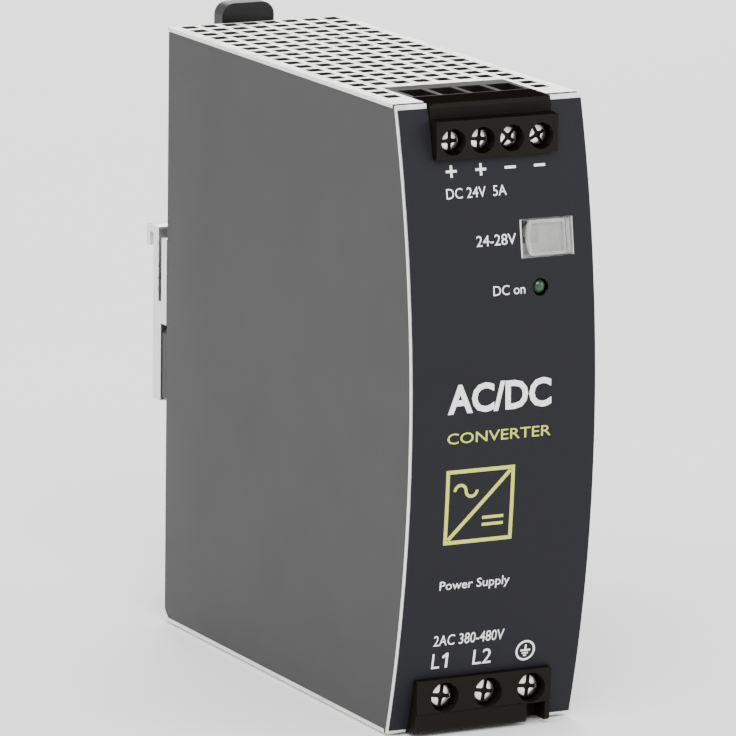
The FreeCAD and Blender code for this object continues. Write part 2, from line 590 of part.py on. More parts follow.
def transformer():
    """The ferrite frame and the taped coil inside it."""
    core = box(("-6", "8"), ("-66", "-38"), ("-20", "14"))
    legs = [box(("-7", "9"), ("-60", "-44"), ends) for ends in (("-15", "-7.5"), ("1.5", "9"))]
    keep(cut(core, *legs), "transformer_core")
    coil = box(("-13", "board_x"), ("-59.6", "-44.4"), ("-14.6", "8.6"))
    keep(cut(coil, box(("-6", "8"), ("-66", "-38"), ("-7.5", "1.5"))), "transformer_coil")


def earth():
    """The strap from the earth pole to the left wall, and its screw."""
    wall = f"(side_wall - {HALF})"
    inner = f"({wall} + 0.8)"
    strap = fuse(box((wall, inner), ("-86", "-76"), ("-56", "-46")),
                 box((wall, "-6"), ("-88", "-87.2"), ("-52", "-47")),
                 box((wall, inner), ("-88", "-85"), ("-52", "-47")))
    keep(cut(strap, rod("x", "screw_shank", (f"{wall} - 1", "-81", "-51"), "4")), "earth_strap")
    keep(fuse(rod("x", "pan_head", (inner, "-81", "-51"), "pan_high"),
              rod("x", "screw_shank", (wall, "-81", "-51"), "1")), "earth_screw")


def inside():
    """The electronics, each standing on the component side of the main board."""
    for label, blocks in BLOCKS.items():
        keep(group(*[box((x[0], "board_x" if x[1] is None else x[1]), y, z) for x, y, z in blocks]), label)
    for label, cans in CANS.items():
        keep(group(*[tall(*can) for can in cans]), label)
    keep(rod("y", "6", ("4", "-66", "-49"), "5"), "inrush_thermistor")
    choke("line_choke", "-47", "-42", "4")
    choke("output_choke", "-58", "32", "4")
    transformer()
    plate = f"(side_wall - {HALF} + 0.2)"
    keep(fuse(box((plate, f"{plate} + 2"), ("-36", "-12"), ("18", "50")),
              box((plate, "10"), ("-38", "-36"), ("18", "50"))), "heat_spreader")
    earth()


housing_body()
grille("top_grille", TOP, -1, ("-output_half", "output_half"))
grille("bottom_grille", "base_z", 1, ("input_left", "input_right"))
front_panel()
front_foil()
cover_screws()
output_terminals()
input_terminals()
trimmer()
status_light()
rail_bracket()
latch()
boards()
inside()
doc.recompute()

for item in doc.Objects:
    if "Invalid" in item.State or "Error" in item.State:
        raise RuntimeError(f"{item.Label} did not build: {item.State}")
for item in nodes:
    if item.Shape.isNull() or not item.Shape.isValid() or not item.Shape.Solids:
        raise RuntimeError(f"{item.Label} has no valid solid")
os.makedirs("parts", exist_ok=True)
for item in nodes:
    item.Shape.exportStep(f"parts/{item.Label}.step")
    print(f"{item.Label:24s} solids {len(item.Shape.Solids):2d}  volume {item.Shape.Volume:10.2f}")
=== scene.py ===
import math

import bmesh
import bpy
from mathutils import Matrix, Vector


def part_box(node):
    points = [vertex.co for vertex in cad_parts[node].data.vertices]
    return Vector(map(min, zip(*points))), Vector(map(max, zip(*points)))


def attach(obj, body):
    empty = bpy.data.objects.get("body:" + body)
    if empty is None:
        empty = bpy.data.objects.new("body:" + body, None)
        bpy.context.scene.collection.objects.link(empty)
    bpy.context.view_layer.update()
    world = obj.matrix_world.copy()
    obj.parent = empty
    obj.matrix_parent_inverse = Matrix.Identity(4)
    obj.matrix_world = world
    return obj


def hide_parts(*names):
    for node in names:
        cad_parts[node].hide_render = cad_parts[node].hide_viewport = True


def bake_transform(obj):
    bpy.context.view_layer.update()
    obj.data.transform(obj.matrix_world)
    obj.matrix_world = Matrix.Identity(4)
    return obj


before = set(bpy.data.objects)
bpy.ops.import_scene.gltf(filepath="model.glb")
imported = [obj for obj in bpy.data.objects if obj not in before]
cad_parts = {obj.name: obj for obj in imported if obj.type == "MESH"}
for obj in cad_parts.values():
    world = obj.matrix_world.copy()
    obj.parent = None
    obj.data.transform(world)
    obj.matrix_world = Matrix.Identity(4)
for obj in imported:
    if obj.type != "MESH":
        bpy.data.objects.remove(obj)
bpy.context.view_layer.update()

MM = 0.001

# Sizes of the housing, read from the frame, in metres.
FACE_LOW, FACE_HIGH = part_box("front_panel")
FOIL_LOW, FOIL_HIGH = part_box("front_foil")
SHELL_LOW, SHELL_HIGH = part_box("housing_body")
HALF = FACE_HIGH.x
BASE, TOP = FACE_LOW.z, FACE_HIGH.z
MIDDLE = (BASE + TOP) / 2
CROWN = FOIL_LOW.y
REAR = SHELL_HIGH.y
BULGE = 8.4 * MM
RADIUS = ((TOP - MIDDLE) ** 2 + BULGE ** 2) / (2 * BULGE)
CENTRE_Y = CROWN + RADIUS
SHEET = 0.8 * MM
FOIL = 0.2 * MM
WALL = 1.5 * MM


def front(x, z, deep=0.0):
    """The point of the convex front at a height, set in along the surface's own normal."""
    angle = math.asin((z - MIDDLE) / RADIUS)
    reach = RADIUS - deep
    return Vector((x, CENTRE_Y - reach * math.cos(angle), MIDDLE + reach * math.sin(angle)))


# ---------------------------------------------------------------- node helpers

def put(tree, kind, inputs=None, **settings):
    """Add a node, set its properties, and fill or link its inputs."""
    node = tree.nodes.new("ShaderNode" + kind)
    for name, setting in settings.items():
        setattr(node, name, setting)
    for name, value in (inputs or {}).items():
        socket = node.inputs[name]
        if isinstance(value, bpy.types.NodeSocket):
            tree.links.new(value, socket)
        else:
            socket.default_value = value
    return node


def math_node(tree, operation, *values, clamp=False):
    return put(tree, "Math", dict(enumerate(values)), operation=operation, use_clamp=clamp).outputs[0]


def remap(tree, value, low, high, to_low=0.0, to_high=1.0):
    return put(tree, "MapRange", {"Value": value, "From Min": low, "From Max": high, "To Min": to_low,
                                  "To Max": to_high}).outputs["Result"]


def blend_colour(tree, factor, first, second):
    node = put(tree, "Mix", data_type="RGBA")
    for socket, value in ((node.inputs[0], factor), (node.inputs[6], first), (node.inputs[7], second)):
        if isinstance(value, bpy.types.NodeSocket):
            tree.links.new(value, socket)
        else:
            socket.default_value = value
    return node.outputs[2]


def new_group(name, inputs, outputs):
    """A shader node group with named float, vector or colour sockets."""
    kinds = {"f": "NodeSocketFloat", "v": "NodeSocketVector", "c": "NodeSocketColor"}
    tree = bpy.data.node_groups.new(name, "ShaderNodeTree")
    for label, kind, default in inputs:
        socket = tree.interface.new_socket(label, in_out="INPUT", socket_type=kinds[kind])
        socket.default_value = default
    for label, kind in outputs:
        tree.interface.new_socket(label, in_out="OUTPUT", socket_type=kinds[kind])
    return tree, tree.nodes.new("NodeGroupInput"), tree.nodes.new("NodeGroupOutput")


def grain_group():
    """Fine speckle stretched along one axis: a mask and a height."""
    tree, given, out = new_group("grain", [("Scale", "f", 1500.0), ("Stretch", "v", (1, 1, 1)),
                                           ("Detail", "f", 4.0)], [("Mask", "f"), ("Height", "f")])
    where = put(tree, "TexCoord").outputs["Object"]
    where = put(tree, "VectorMath", {0: where, 1: given.outputs["Stretch"]}, operation="MULTIPLY").outputs[0]
    noise = put(tree, "TexNoise", {"Vector": where, "Scale": given.outputs["Scale"],
                                   "Detail": given.outputs["Detail"], "Roughness": 0.6}).outputs["Fac"]
    tree.links.new(remap(tree, noise, 0.35, 0.65), out.inputs["Mask"])
    tree.links.new(noise, out.inputs["Height"])
    return tree


def cloud_group():
    """Slow, wide variation for handling marks and uneven finish."""
    tree, given, out = new_group("cloud", [("Scale", "f", 60.0), ("Low", "f", 0.35), ("High", "f", 0.7)],
                                 [("Mask", "f")])
    where = put(tree, "TexCoord").outputs["Object"]
    noise = put(tree, "TexNoise", {"Vector": where, "Scale": given.outputs["Scale"], "Detail": 5.0,
                                   "Roughness": 0.55, "Distortion": 0.3}).outputs["Fac"]
    tree.links.new(remap(tree, noise, given.outputs["Low"], given.outputs["High"]), out.inputs["Mask"])
    return tree


def wear_group():
    """Rubbed edges: where a rounded normal departs from the flat one, broken up by noise."""
    tree, given, out = new_group("edge_wear", [("Radius", "f", 0.0003), ("Amount", "f", 1.0)],
                                 [("Mask", "f")])
    soft = put(tree, "Bevel", {"Radius": given.outputs["Radius"]}, samples=4).outputs[0]
    hard = put(tree, "NewGeometry").outputs["Normal"]
    match = put(tree, "VectorMath", {0: soft, 1: hard}, operation="DOT_PRODUCT").outputs["Value"]
    edge = remap(tree, match, 0.995, 0.86)
    where = put(tree, "TexCoord").outputs["Object"]
    noise = put(tree, "TexNoise", {"Vector": where, "Scale": 900.0, "Detail": 5.0}).outputs["Fac"]
    broken = math_node(tree, "MULTIPLY", edge, remap(tree, noise, 0.38, 0.6))
    worn = math_node(tree, "MULTIPLY", broken, given.outputs["Amount"], clamp=True)
    tree.links.new(worn, out.inputs["Mask"])
    return tree


def spangle_group():
    """The patchwork of zinc crystals on plated sheet."""
    tree, given, out = new_group("spangle", [("Scale", "f", 700.0)], [("Mask", "f"), ("Height", "f")])
    where = put(tree, "TexCoord").outputs["Object"]
    bent = put(tree, "TexNoise", {"Vector": where, "Scale": 500.0, "Detail": 2.0}).outputs["Color"]
    where = put(tree, "VectorMath", {0: bent, 1: (0.0012, 0.0012, 0.0012), 2: where},
                operation="MULTIPLY_ADD").outputs[0]
    cells = put(tree, "TexVoronoi", {"Vector": where, "Scale": given.outputs["Scale"]}).outputs
    tone = put(tree, "SeparateColor", {"Color": cells["Color"]}).outputs[0]
    tree.links.new(tone, out.inputs["Mask"])
    tree.links.new(cells["Distance"], out.inputs["Height"])
    return tree


def rings_group():
    """Turned-metal rings about a Y axis through a point."""
    tree, given, out = new_group("turned", [("Centre", "v", (0, 0, 0)), ("Scale", "f", 9000.0)],
                                 [("Mask", "f")])
    where = put(tree, "TexCoord").outputs["Object"]
    away = put(tree, "VectorMath", {0: where, 1: given.outputs["Centre"]}, operation="SUBTRACT").outputs[0]
    flat = put(tree, "VectorMath", {0: away, 1: (1, 0, 1)}, operation="MULTIPLY").outputs[0]
    reach = put(tree, "VectorMath", {0: flat}, operation="LENGTH").outputs["Value"]
    noise = put(tree, "TexNoise", {"W": math_node(tree, "MULTIPLY", reach, given.outputs["Scale"]),
                                   "Scale": 1.0, "Detail": 3.0}, noise_dimensions="1D").outputs["Fac"]
    tree.links.new(noise, out.inputs["Mask"])
    return tree


GRAIN = grain_group()
CLOUD = cloud_group()
WEAR = wear_group()
SPANGLE = spangle_group()
RINGS = rings_group()


def use(tree, group, **inputs):
    """Place a group in a material with its own values."""
    node = tree.nodes.new("ShaderNodeGroup")
    node.node_tree = group
    for name, value in inputs.items():
        socket = node.inputs[name]
        if isinstance(value, bpy.types.NodeSocket):
            tree.links.new(value, socket)
        else:
            socket.default_value = value
    return node.outputs


def shader(name, **settings):
    """A material with a Principled BSDF whose even values sit on its own sockets."""
    material = bpy.data.materials.new(name)
    material.use_nodes = True
    bsdf = material.node_tree.nodes["Principled BSDF"]
    for socket, value in settings.items():
        bsdf.inputs[socket.replace("_", " ")].default_value = value
    return material, material.node_tree, bsdf


def rgba(*values):
    return (values[0], values[1], values[2], 1.0)


def raise_surface(tree, bsdf, height, distance, strength=1.0):
    bump = put(tree, "Bump", {"Height": height, "Distance": distance, "Strength": strength})
    tree.links.new(bump.outputs[0], bsdf.inputs["Normal"])


def skinned(name, colour, rough, tint=0.75, grain_scale=2600.0, depth=0.00001, worn=0.0, wear_colour=None,
            radius=0.00025, stretch=(1, 1, 1), haze=0.12, **settings):
    """A finish with a fine skin, uneven tone and rubbed edges, for plastics, paint and plain metal."""
    material, tree, bsdf = shader(name, **settings)
    grain = use(tree, GRAIN, Scale=grain_scale, Stretch=stretch)
    cloud = use(tree, CLOUD, Scale=70.0)
    dark = rgba(*[channel * tint for channel in colour])
    slow = math_node(tree, "MULTIPLY", cloud["Mask"], 0.55)
    tone = math_node(tree, "MULTIPLY_ADD", grain["Mask"], 0.45, slow)
    mixed = blend_colour(tree, tone, dark, rgba(*colour))
    roughness = math_node(tree, "MULTIPLY_ADD", cloud["Mask"], haze, rough - haze / 2)
    if worn:
        wear = use(tree, WEAR, Radius=radius, Amount=worn)["Mask"]
        mixed = blend_colour(tree, wear, mixed, rgba(*wear_colour))
        roughness = math_node(tree, "MULTIPLY_ADD", wear, -0.08, roughness)
    tree.links.new(mixed, bsdf.inputs["Base Color"])
    tree.links.new(roughness, bsdf.inputs["Roughness"])
    raise_surface(tree, bsdf, grain["Height"], depth)
    return material


def zinc(name, colour, rough, scale=420.0):
    """Bright plated sheet steel: spangle, rolling lines and a little haze."""
    material, tree, bsdf = shader(name, Metallic=1.0)
    cells = use(tree, SPANGLE, Scale=scale)
    rolling = use(tree, GRAIN, Scale=900.0, Stretch=(1, 0.06, 1))
    tone = math_node(tree, "MULTIPLY_ADD", cells["Mask"], 0.55,
                     math_node(tree, "MULTIPLY", rolling["Mask"], 0.45))
    tree.links.new(blend_colour(tree, tone, rgba(*[c * 0.84 for c in colour]), rgba(*colour)),
                   bsdf.inputs["Base Color"])
    tree.links.new(math_node(tree, "MULTIPLY_ADD", tone, 0.16, rough - 0.08), bsdf.inputs["Roughness"])
    raise_surface(tree, bsdf, rolling["Height"], 0.000006)
    return material


def turned(name, colour, centre, rough=0.24):
    """Nickel-plated screw head with turned rings about its own axis."""
    material, tree, bsdf = shader(name, Metallic=1.0)
    ring = use(tree, RINGS, Centre=centre)["Mask"]
    cloud = use(tree, CLOUD, Scale=600.0)["Mask"]
    tree.links.new(blend_colour(tree, cloud, rgba(*[c * 0.82 for c in colour]), rgba(*colour)),
                   bsdf.inputs["Base Color"])
    tree.links.new(math_node(tree, "MULTIPLY_ADD", ring, 0.2, rough - 0.1), bsdf.inputs["Roughness"])
    raise_surface(tree, bsdf, ring, 0.000006)
    return material


SIDE_PAINT = skinned("side_grey", (0.0285, 0.0285, 0.0285), 0.6, tint=0.965, grain_scale=3200.0,
                     depth=0.000005, worn=0.35, wear_colour=(0.12, 0.12, 0.12), radius=0.00015, haze=0.04,
                     Specular_IOR_Level=0.35)
# Painted shade: near-black for the inner faces of the side shell, so the inside looks dark through the holes
# instead of bare aluminium.
INNER_SHADE = skinned("inner_wall_painted_shade", (0.02, 0.02, 0.019), 0.6, tint=0.8, Specular_IOR_Level=0.15)
ZINC = zinc("zinc_sheet", (0.93, 0.925, 0.9), 0.36)
FOIL_DARK = skinned("front_dark_foil", (0.0095, 0.0095, 0.0125), 0.55, tint=0.94, grain_scale=6400.0,
                    depth=0.000006, haze=0.05, Specular_IOR_Level=0.15)
BLOCK_BLACK = skinned("terminal_black", (0.006, 0.0048, 0.0032), 0.6, tint=0.75, worn=0.3,
                      wear_colour=(0.03, 0.026, 0.019), grain_scale=3200.0, Specular_IOR_Level=0.1)
# Painted shade: a copy of the terminal black with no reflection, for the output block's upward faces in
# front of the apron, so they stay black where light would fall.
BROW_TOP_SHADE = skinned("terminal_top_painted_shade", (0.006, 0.005, 0.0035), 0.9, tint=0.7, grain_scale=2400.0,
                     Specular_IOR_Level=0.0)
BLACK = skinned("moulded_black", (0.009, 0.009, 0.009), 0.42, tint=0.75, worn=0.35,
                wear_colour=(0.05, 0.05, 0.052), radius=0.00025, Specular_IOR_Level=0.3)
ALUMINIUM = skinned("extruded_aluminium", (0.78, 0.785, 0.79), 0.34, tint=0.88, grain_scale=2400.0,
                    stretch=(0.02, 1, 1), Metallic=1.0)
PRINT_WHITE = skinned("print_white", (0.88, 0.88, 0.86), 0.5, tint=0.95, grain_scale=6000.0, depth=0.000004)
PRINT_LIME = skinned("print_lime", (0.52, 0.6, 0.07), 0.5, tint=0.93, grain_scale=6000.0, depth=0.000004)
STEEL = skinned("clamp_steel", (0.6, 0.59, 0.56), 0.35, tint=0.8, Metallic=1.0)
# Painted shade: dark brown for the insides of the screws' cross recesses.
RECESS_SHADE = skinned("screw_recess_painted_shade", (0.022, 0.017, 0.01), 0.6, tint=0.6, Metallic=0.3, Specular_IOR_Level=0.2)
# Partly real and partly painted shade: the bare steel of the punched hole walls, made darker so the holes
# read as shaded.
PUNCHED_EDGE_AND_SHADE = skinned("punched_edge_and_painted_shade", (0.1, 0.095, 0.085), 0.45, tint=0.6, Metallic=1.0)
PLATED = skinned("plated_screw", (0.72, 0.72, 0.73), 0.3, tint=0.82, Metallic=1.0)
SPRING = skinned("spring_steel", (0.5, 0.5, 0.52), 0.28, tint=0.75, Metallic=1.0)
TIN = skinned("tinned_copper", (0.74, 0.7, 0.63), 0.3, tint=0.82, Metallic=1.0)
BOARD = skinned("solder_mask", (0.03, 0.17, 0.07), 0.35, tint=0.6, grain_scale=700.0, Coat_Weight=0.4)
FILM = skinned("insulating_film", (0.72, 0.7, 0.62), 0.3, tint=0.9)
FERRITE = skinned("sintered_ferrite", (0.045, 0.045, 0.05), 0.55, tint=0.6, grain_scale=1500.0,
                  depth=0.00003)
ENAMEL = skinned("enamelled_copper", (0.5, 0.2, 0.08), 0.25, tint=0.6, stretch=(1, 3, 3),
                 grain_scale=1200.0, Metallic=0.8, Coat_Weight=0.5)
TAPE = skinned("coil_tape", (0.72, 0.55, 0.1), 0.35, tint=0.85, stretch=(0.1, 4, 0.1))
DIPPED = skinned("dipped_ceramic", (0.06, 0.16, 0.4), 0.3, tint=0.8, Coat_Weight=0.4)
CASE_GREY = skinned("component_grey", (0.34, 0.34, 0.33), 0.45, tint=0.85)
SLEEVE = skinned("capacitor_sleeve", (0.03, 0.032, 0.07), 0.25, tint=0.7, Coat_Weight=0.5)
TRIMMER_GREY = skinned("trimmer_case", (0.2, 0.2, 0.19), 0.35, tint=0.85)
TRIMMER_WHITE = skinned("trimmer_rotor", (0.3, 0.3, 0.28), 0.4, tint=0.9, worn=0.3,
                        wear_colour=(0.4, 0.4, 0.38))


def clear_plastic(name, colour, rough, transmission):
    """Milky clear plastic with fine flow marks."""
    material, tree, bsdf = shader(name, Transmission_Weight=transmission, IOR=1.49, Metallic=0.0)
    cloud = use(tree, CLOUD, Scale=240.0)["Mask"]
    grain = use(tree, GRAIN, Scale=1800.0)
    tree.links.new(blend_colour(tree, cloud, rgba(*[c * 0.93 for c in colour]), rgba(*colour)),
                   bsdf.inputs["Base Color"])
    tree.links.new(math_node(tree, "MULTIPLY_ADD", cloud, 0.08, rough), bsdf.inputs["Roughness"])
    raise_surface(tree, bsdf, grain["Height"], 0.000004)
    return material


CLEAR = clear_plastic("clear_flap", (0.97, 0.97, 0.96), 0.06, 0.82)
MILKY = clear_plastic("milky_frame", (0.8, 0.8, 0.78), 0.25, 0.2)
LENS = clear_plastic("green_lens", (0.012, 0.045, 0.014), 0.14, 0.1)

# ---------------------------------------------------------------- mesh helpers


def show(name, mesh, material, body, replaced=(), bevel=0.0, segments=2, angle=32.0):
    """Link a finished mesh, shade it, round its edges, and tell the frame what it is."""
    obj = bpy.data.objects.new(name, mesh)
    bpy.context.scene.collection.objects.link(obj)
    mesh.materials.clear()
    mesh.materials.append(material)
    for face in mesh.polygons:
        face.use_smooth = True
    mesh.set_sharp_from_angle(angle=math.radians(angle))
    if bevel:
        modifier = obj.modifiers.new("rounded", "BEVEL")
        modifier.width = bevel
        modifier.segments = segments
        modifier.limit_method = "ANGLE"
        modifier.angle_limit = math.radians(angle)
        modifier.harden_normals = True
        modifier.use_clamp_overlap = True
    if body:
        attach(obj, body)
    if replaced:
        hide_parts(*replaced)
    return obj


def refinish(obj, material, is_other):
    """Give the faces that pass a test a second finish."""
    obj.data.materials.append(material)
    for face in obj.data.polygons:
        if is_other(face):
            face.material_index = len(obj.data.materials) - 1
    return obj


def to_mesh(name, bm, tidy=True):
    if tidy:
        bmesh.ops.remove_doubles(bm, verts=bm.verts, dist=1e-7)
        bmesh.ops.recalc_face_normals(bm, faces=bm.faces)
    mesh = bpy.data.meshes.new(name)
    bm.to_mesh(mesh)
    bm.free()
    return mesh


def add_box(bm, low, high, matrix=None):
    made = bmesh.ops.create_cube(bm, size=1.0)["verts"]
    low, high = Vector(low), Vector(high)
    for vert in made:
        vert.co = Vector([(low[k] + high[k]) / 2 + vert.co[k] * (high[k] - low[k]) for k in range(3)])
        if matrix:
            vert.co = matrix @ vert.co
    return made


def add_prism(bm, outline, low, high, axis):
    """A closed prism: an outline in the plane across an axis, between two places along it."""
    order = {"x": (2, 0, 1), "y": (0, 2, 1), "z": (0, 1, 2)}[axis]
    ends = []
    for place in (low, high):
        spots = [(a, b, place) for a, b in outline]
        ends.append([bm.verts.new([spot[k] for k in order]) for spot in spots])
    count = len(outline)
    bm.faces.new(ends[0])
    bm.faces.new(reversed(ends[1]))
    for index in range(count):
        after = (index + 1) % count
        bm.faces.new((ends[0][index], ends[0][after], ends[1][after], ends[1][index]))
    return ends


def circle(cx, cz, radius, count=40, start=0.0):
    return [(cx + radius * math.cos(start + 2 * math.pi * k / count),
             cz + radius * math.sin(start + 2 * math.pi * k / count)) for k in range(count)]


def rounded(points, radii, steps=5):
    """An outline whose corners are rounded, each by its own radius."""
    result = []
    count = len(points)
    for index in range(count):
        corner = Vector(points[index])
        before, after = Vector(points[index - 1]), Vector(points[(index + 1) % count])
        radius = radii[index] if isinstance(radii, (list, tuple)) else radii
        if radius <= 0:
            result.append(tuple(corner))
            continue
        a, b = (before - corner).normalized(), (after - corner).normalized()
        half = a.angle(b) / 2
        reach = radius / math.tan(half)
        centre = corner + (a + b).normalized() * (radius / math.sin(half))
        first, last = corner + a * reach - centre, corner + b * reach - centre
        turn = first.angle_signed(last)
        for step in range(steps + 1):
            spun = Matrix.Rotation(-turn * step / steps, 2) @ first
            result.append(tuple(centre + spun))
    return result


def carved(name, solid, tools):
    """The solid mesh with every tool mesh cut out of it."""
    base = bpy.data.objects.new(name, solid)
    bpy.context.scene.collection.objects.link(base)
    helpers = []
    for tool in tools:
        helper = bpy.data.objects.new(name + "_tool", tool)
        bpy.context.scene.collection.objects.link(helper)
        helpers.append(helper)
        step = base.modifiers.new("cut", "BOOLEAN")
        step.operation = "DIFFERENCE"
        step.solver = "EXACT"
        step.object = helper
    graph = bpy.context.evaluated_depsgraph_get()
    mesh = bpy.data.meshes.new_from_object(base.evaluated_get(graph))
    for item in [base, *helpers]:
        bpy.data.objects.remove(item)
    bm = bmesh.new()
    bm.from_mesh(mesh)
    bmesh.ops.remove_doubles(bm, verts=bm.verts, dist=2e-6)
    bmesh.ops.dissolve_limit(bm, angle_limit=math.radians(0.5), verts=bm.verts, edges=bm.edges)
    bm.to_mesh(mesh)
    bm.free()
    mesh.name = name
    return mesh


def box_tool(low, high):
    bm = bmesh.new()
    add_box(bm, low, high)
    return to_mesh("tool", bm)


def prism_tool(outline, low, high, axis):
    bm = bmesh.new()
    add_prism(bm, outline, low, high, axis)
    return to_mesh("tool", bm)


def cell_sheet(xs, zs, is_open, place, thick, round_hole=None):
    """A sheet of quads between grid lines, left out where a cell is open, with a real thickness.

    place(a, b, deep) gives a point; round_hole is (column, row, a, b, radius)."""
    bm = bmesh.new()
    points = {}

    def vert(i, j, side):
        key = (i, j, side)
        if key not in points:
            points[key] = bm.verts.new(place(xs[i], zs[j], side * thick))
        return points[key]

    columns, rows = len(xs) - 1, len(zs) - 1
    solid = {(i, j) for i in range(columns) for j in range(rows)
             if not is_open((xs[i] + xs[i + 1]) / 2, (zs[j] + zs[j + 1]) / 2)}
    for i, j in solid:
        corners = ((i, j), (i + 1, j), (i + 1, j + 1), (i, j + 1))
        if round_hole and (i, j) == tuple(round_hole[:2]):
            both = [[vert(a, b, side) for a, b in corners] for side in (0, 1)]
            drill(bm, both, place, thick, round_hole[2:])
        else:
            bm.faces.new([vert(a, b, 0) for a, b in corners])
            bm.faces.new([vert(a, b, 1) for a, b in reversed(corners)])
        sides = (((i, j), (i + 1, j), (i, j - 1)), ((i + 1, j), (i + 1, j + 1), (i + 1, j)),
                 ((i + 1, j + 1), (i, j + 1), (i, j + 1)), ((i, j + 1), (i, j), (i - 1, j)))
        for start, end, neighbour in sides:
            if neighbour not in solid:
                bm.faces.new((vert(*end, 0), vert(*start, 0), vert(*start, 1), vert(*end, 1)))
    return bm


def drill(bm, corners, place, thick, hole):
    """A round hole inside one cell: four faces round it on each side, and its wall."""
    a, b, radius = hole
    count = 48
    start = -0.75 * math.pi
    loops = []
    for side in (0, 1):
        rim = circle(a, b, radius, count, start)
        loops.append([bm.verts.new(place(x, z, side * thick)) for x, z in rim])
        quarter = count // 4
        for k in range(4):
            arc = [loops[side][(k * quarter + n) % count] for n in range(quarter + 1)]
            face = [corners[side][k], corners[side][(k + 1) % 4], *reversed(arc)]
            bm.faces.new(face if side == 0 else list(reversed(face)))
    for k in range(count):
        after = (k + 1) % count
        bm.faces.new((loops[0][k], loops[0][after], loops[1][after], loops[1][k]))


def lines(start, end, step, *extra):
    """Grid lines from start to end, evenly spaced, with the given lines among them."""
    count = max(1, round((end - start) / step))
    values = sorted([start + (end - start) * k / count for k in range(count + 1)] + list(extra))
    kept = []
    fixed = set(extra) | {start, end}
    for value in values:
        if kept and value - kept[-1] < step * 0.4:
            if value in fixed and kept[-1] not in fixed:
                kept[-1] = value
            elif value in fixed:
                kept.append(value)
            continue
        kept.append(value)
    return kept


# ---------------------------------------------------------------- housing

# Openings of the front: (left, right, low, high) in metres from the frame's own pieces.
OUT_LOW, OUT_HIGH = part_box("output_terminal_block")
IN_LOW, IN_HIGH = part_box("input_terminal_block")
GAP = 0.1 * MM
OUT_NOTCH = (OUT_LOW.x - GAP, OUT_HIGH.x + GAP, BASE + 113.4 * MM, TOP + 1 * MM)
IN_NOTCH = (IN_LOW.x - GAP, IN_HIGH.x + GAP, BASE - 1 * MM, BASE + 11.1 * MM)
WINDOW = (4.35 * MM, 15.9 * MM, BASE + 93.5 * MM, BASE + 101 * MM)
LIGHT_LOW, LIGHT_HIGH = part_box("status_light")
LIGHT_X, LIGHT_Z = (LIGHT_LOW.x + LIGHT_HIGH.x) / 2, (LIGHT_LOW.z + LIGHT_HIGH.z) / 2
LIGHT_HOLE = 1.7 * MM
FOIL_SPREAD, FOIL_RISE = 0.3 * MM, 0.35 * MM


def inside(area, x, z, room=0.0):
    return area[0] - room < x < area[1] + room and area[2] - room < z < area[3] + room


def front_sheet(name, left, right, low, high, deep, thick, room, material, node, bevel):
    """One curved layer of the front with its notches, window and light hole."""
    around = 3.2 * MM
    areas = (OUT_NOTCH, IN_NOTCH, WINDOW)
    xs = sorted({left, right, *(v for area in areas for v in (area[0] - room, area[1] + room)),
                 LIGHT_X - around, LIGHT_X + around})
    fixed = [v for area in areas for v in (area[2] - room, area[3] + room) if low < v < high]
    light = (LIGHT_Z - around, LIGHT_Z + around)
    zs = [z for z in lines(low, high, 1.6 * MM, *fixed, *light) if not light[0] < z < light[1]]
    bm = cell_sheet(xs, zs, lambda x, z: any(inside(area, x, z, room) for area in areas),
                    lambda x, z, d: front(x, z, deep + d), thick,
                    (xs.index(LIGHT_X - around), zs.index(light[0]), LIGHT_X, LIGHT_Z, LIGHT_HOLE + room))
    sheet = show(name, to_mesh(name, bm), material, "housing", (node,), bevel)
    def at_opening(face):
        x, z = face.center.x, face.center.z
        return (inside(WINDOW, x, z, room + 0.05 * MM)
                or math.hypot(x - LIGHT_X, z - LIGHT_Z) < LIGHT_HOLE + room + 0.02 * MM)

    return refinish(sheet, FOIL_DARK, at_opening)


front_sheet("curved_front_sheet", -HALF, HALF, BASE, TOP, FOIL, SHEET, 0.15 * MM, ZINC,
            "front_panel", 0.1 * MM)
front_sheet("curved_front_foil", FOIL_LOW.x - FOIL_SPREAD, FOIL_HIGH.x + FOIL_SPREAD, FOIL_LOW.z,
            FOIL_HIGH.z + FOIL_RISE, 0.0, FOIL, 0.0, FOIL_DARK, "front_foil", 0.05 * MM)


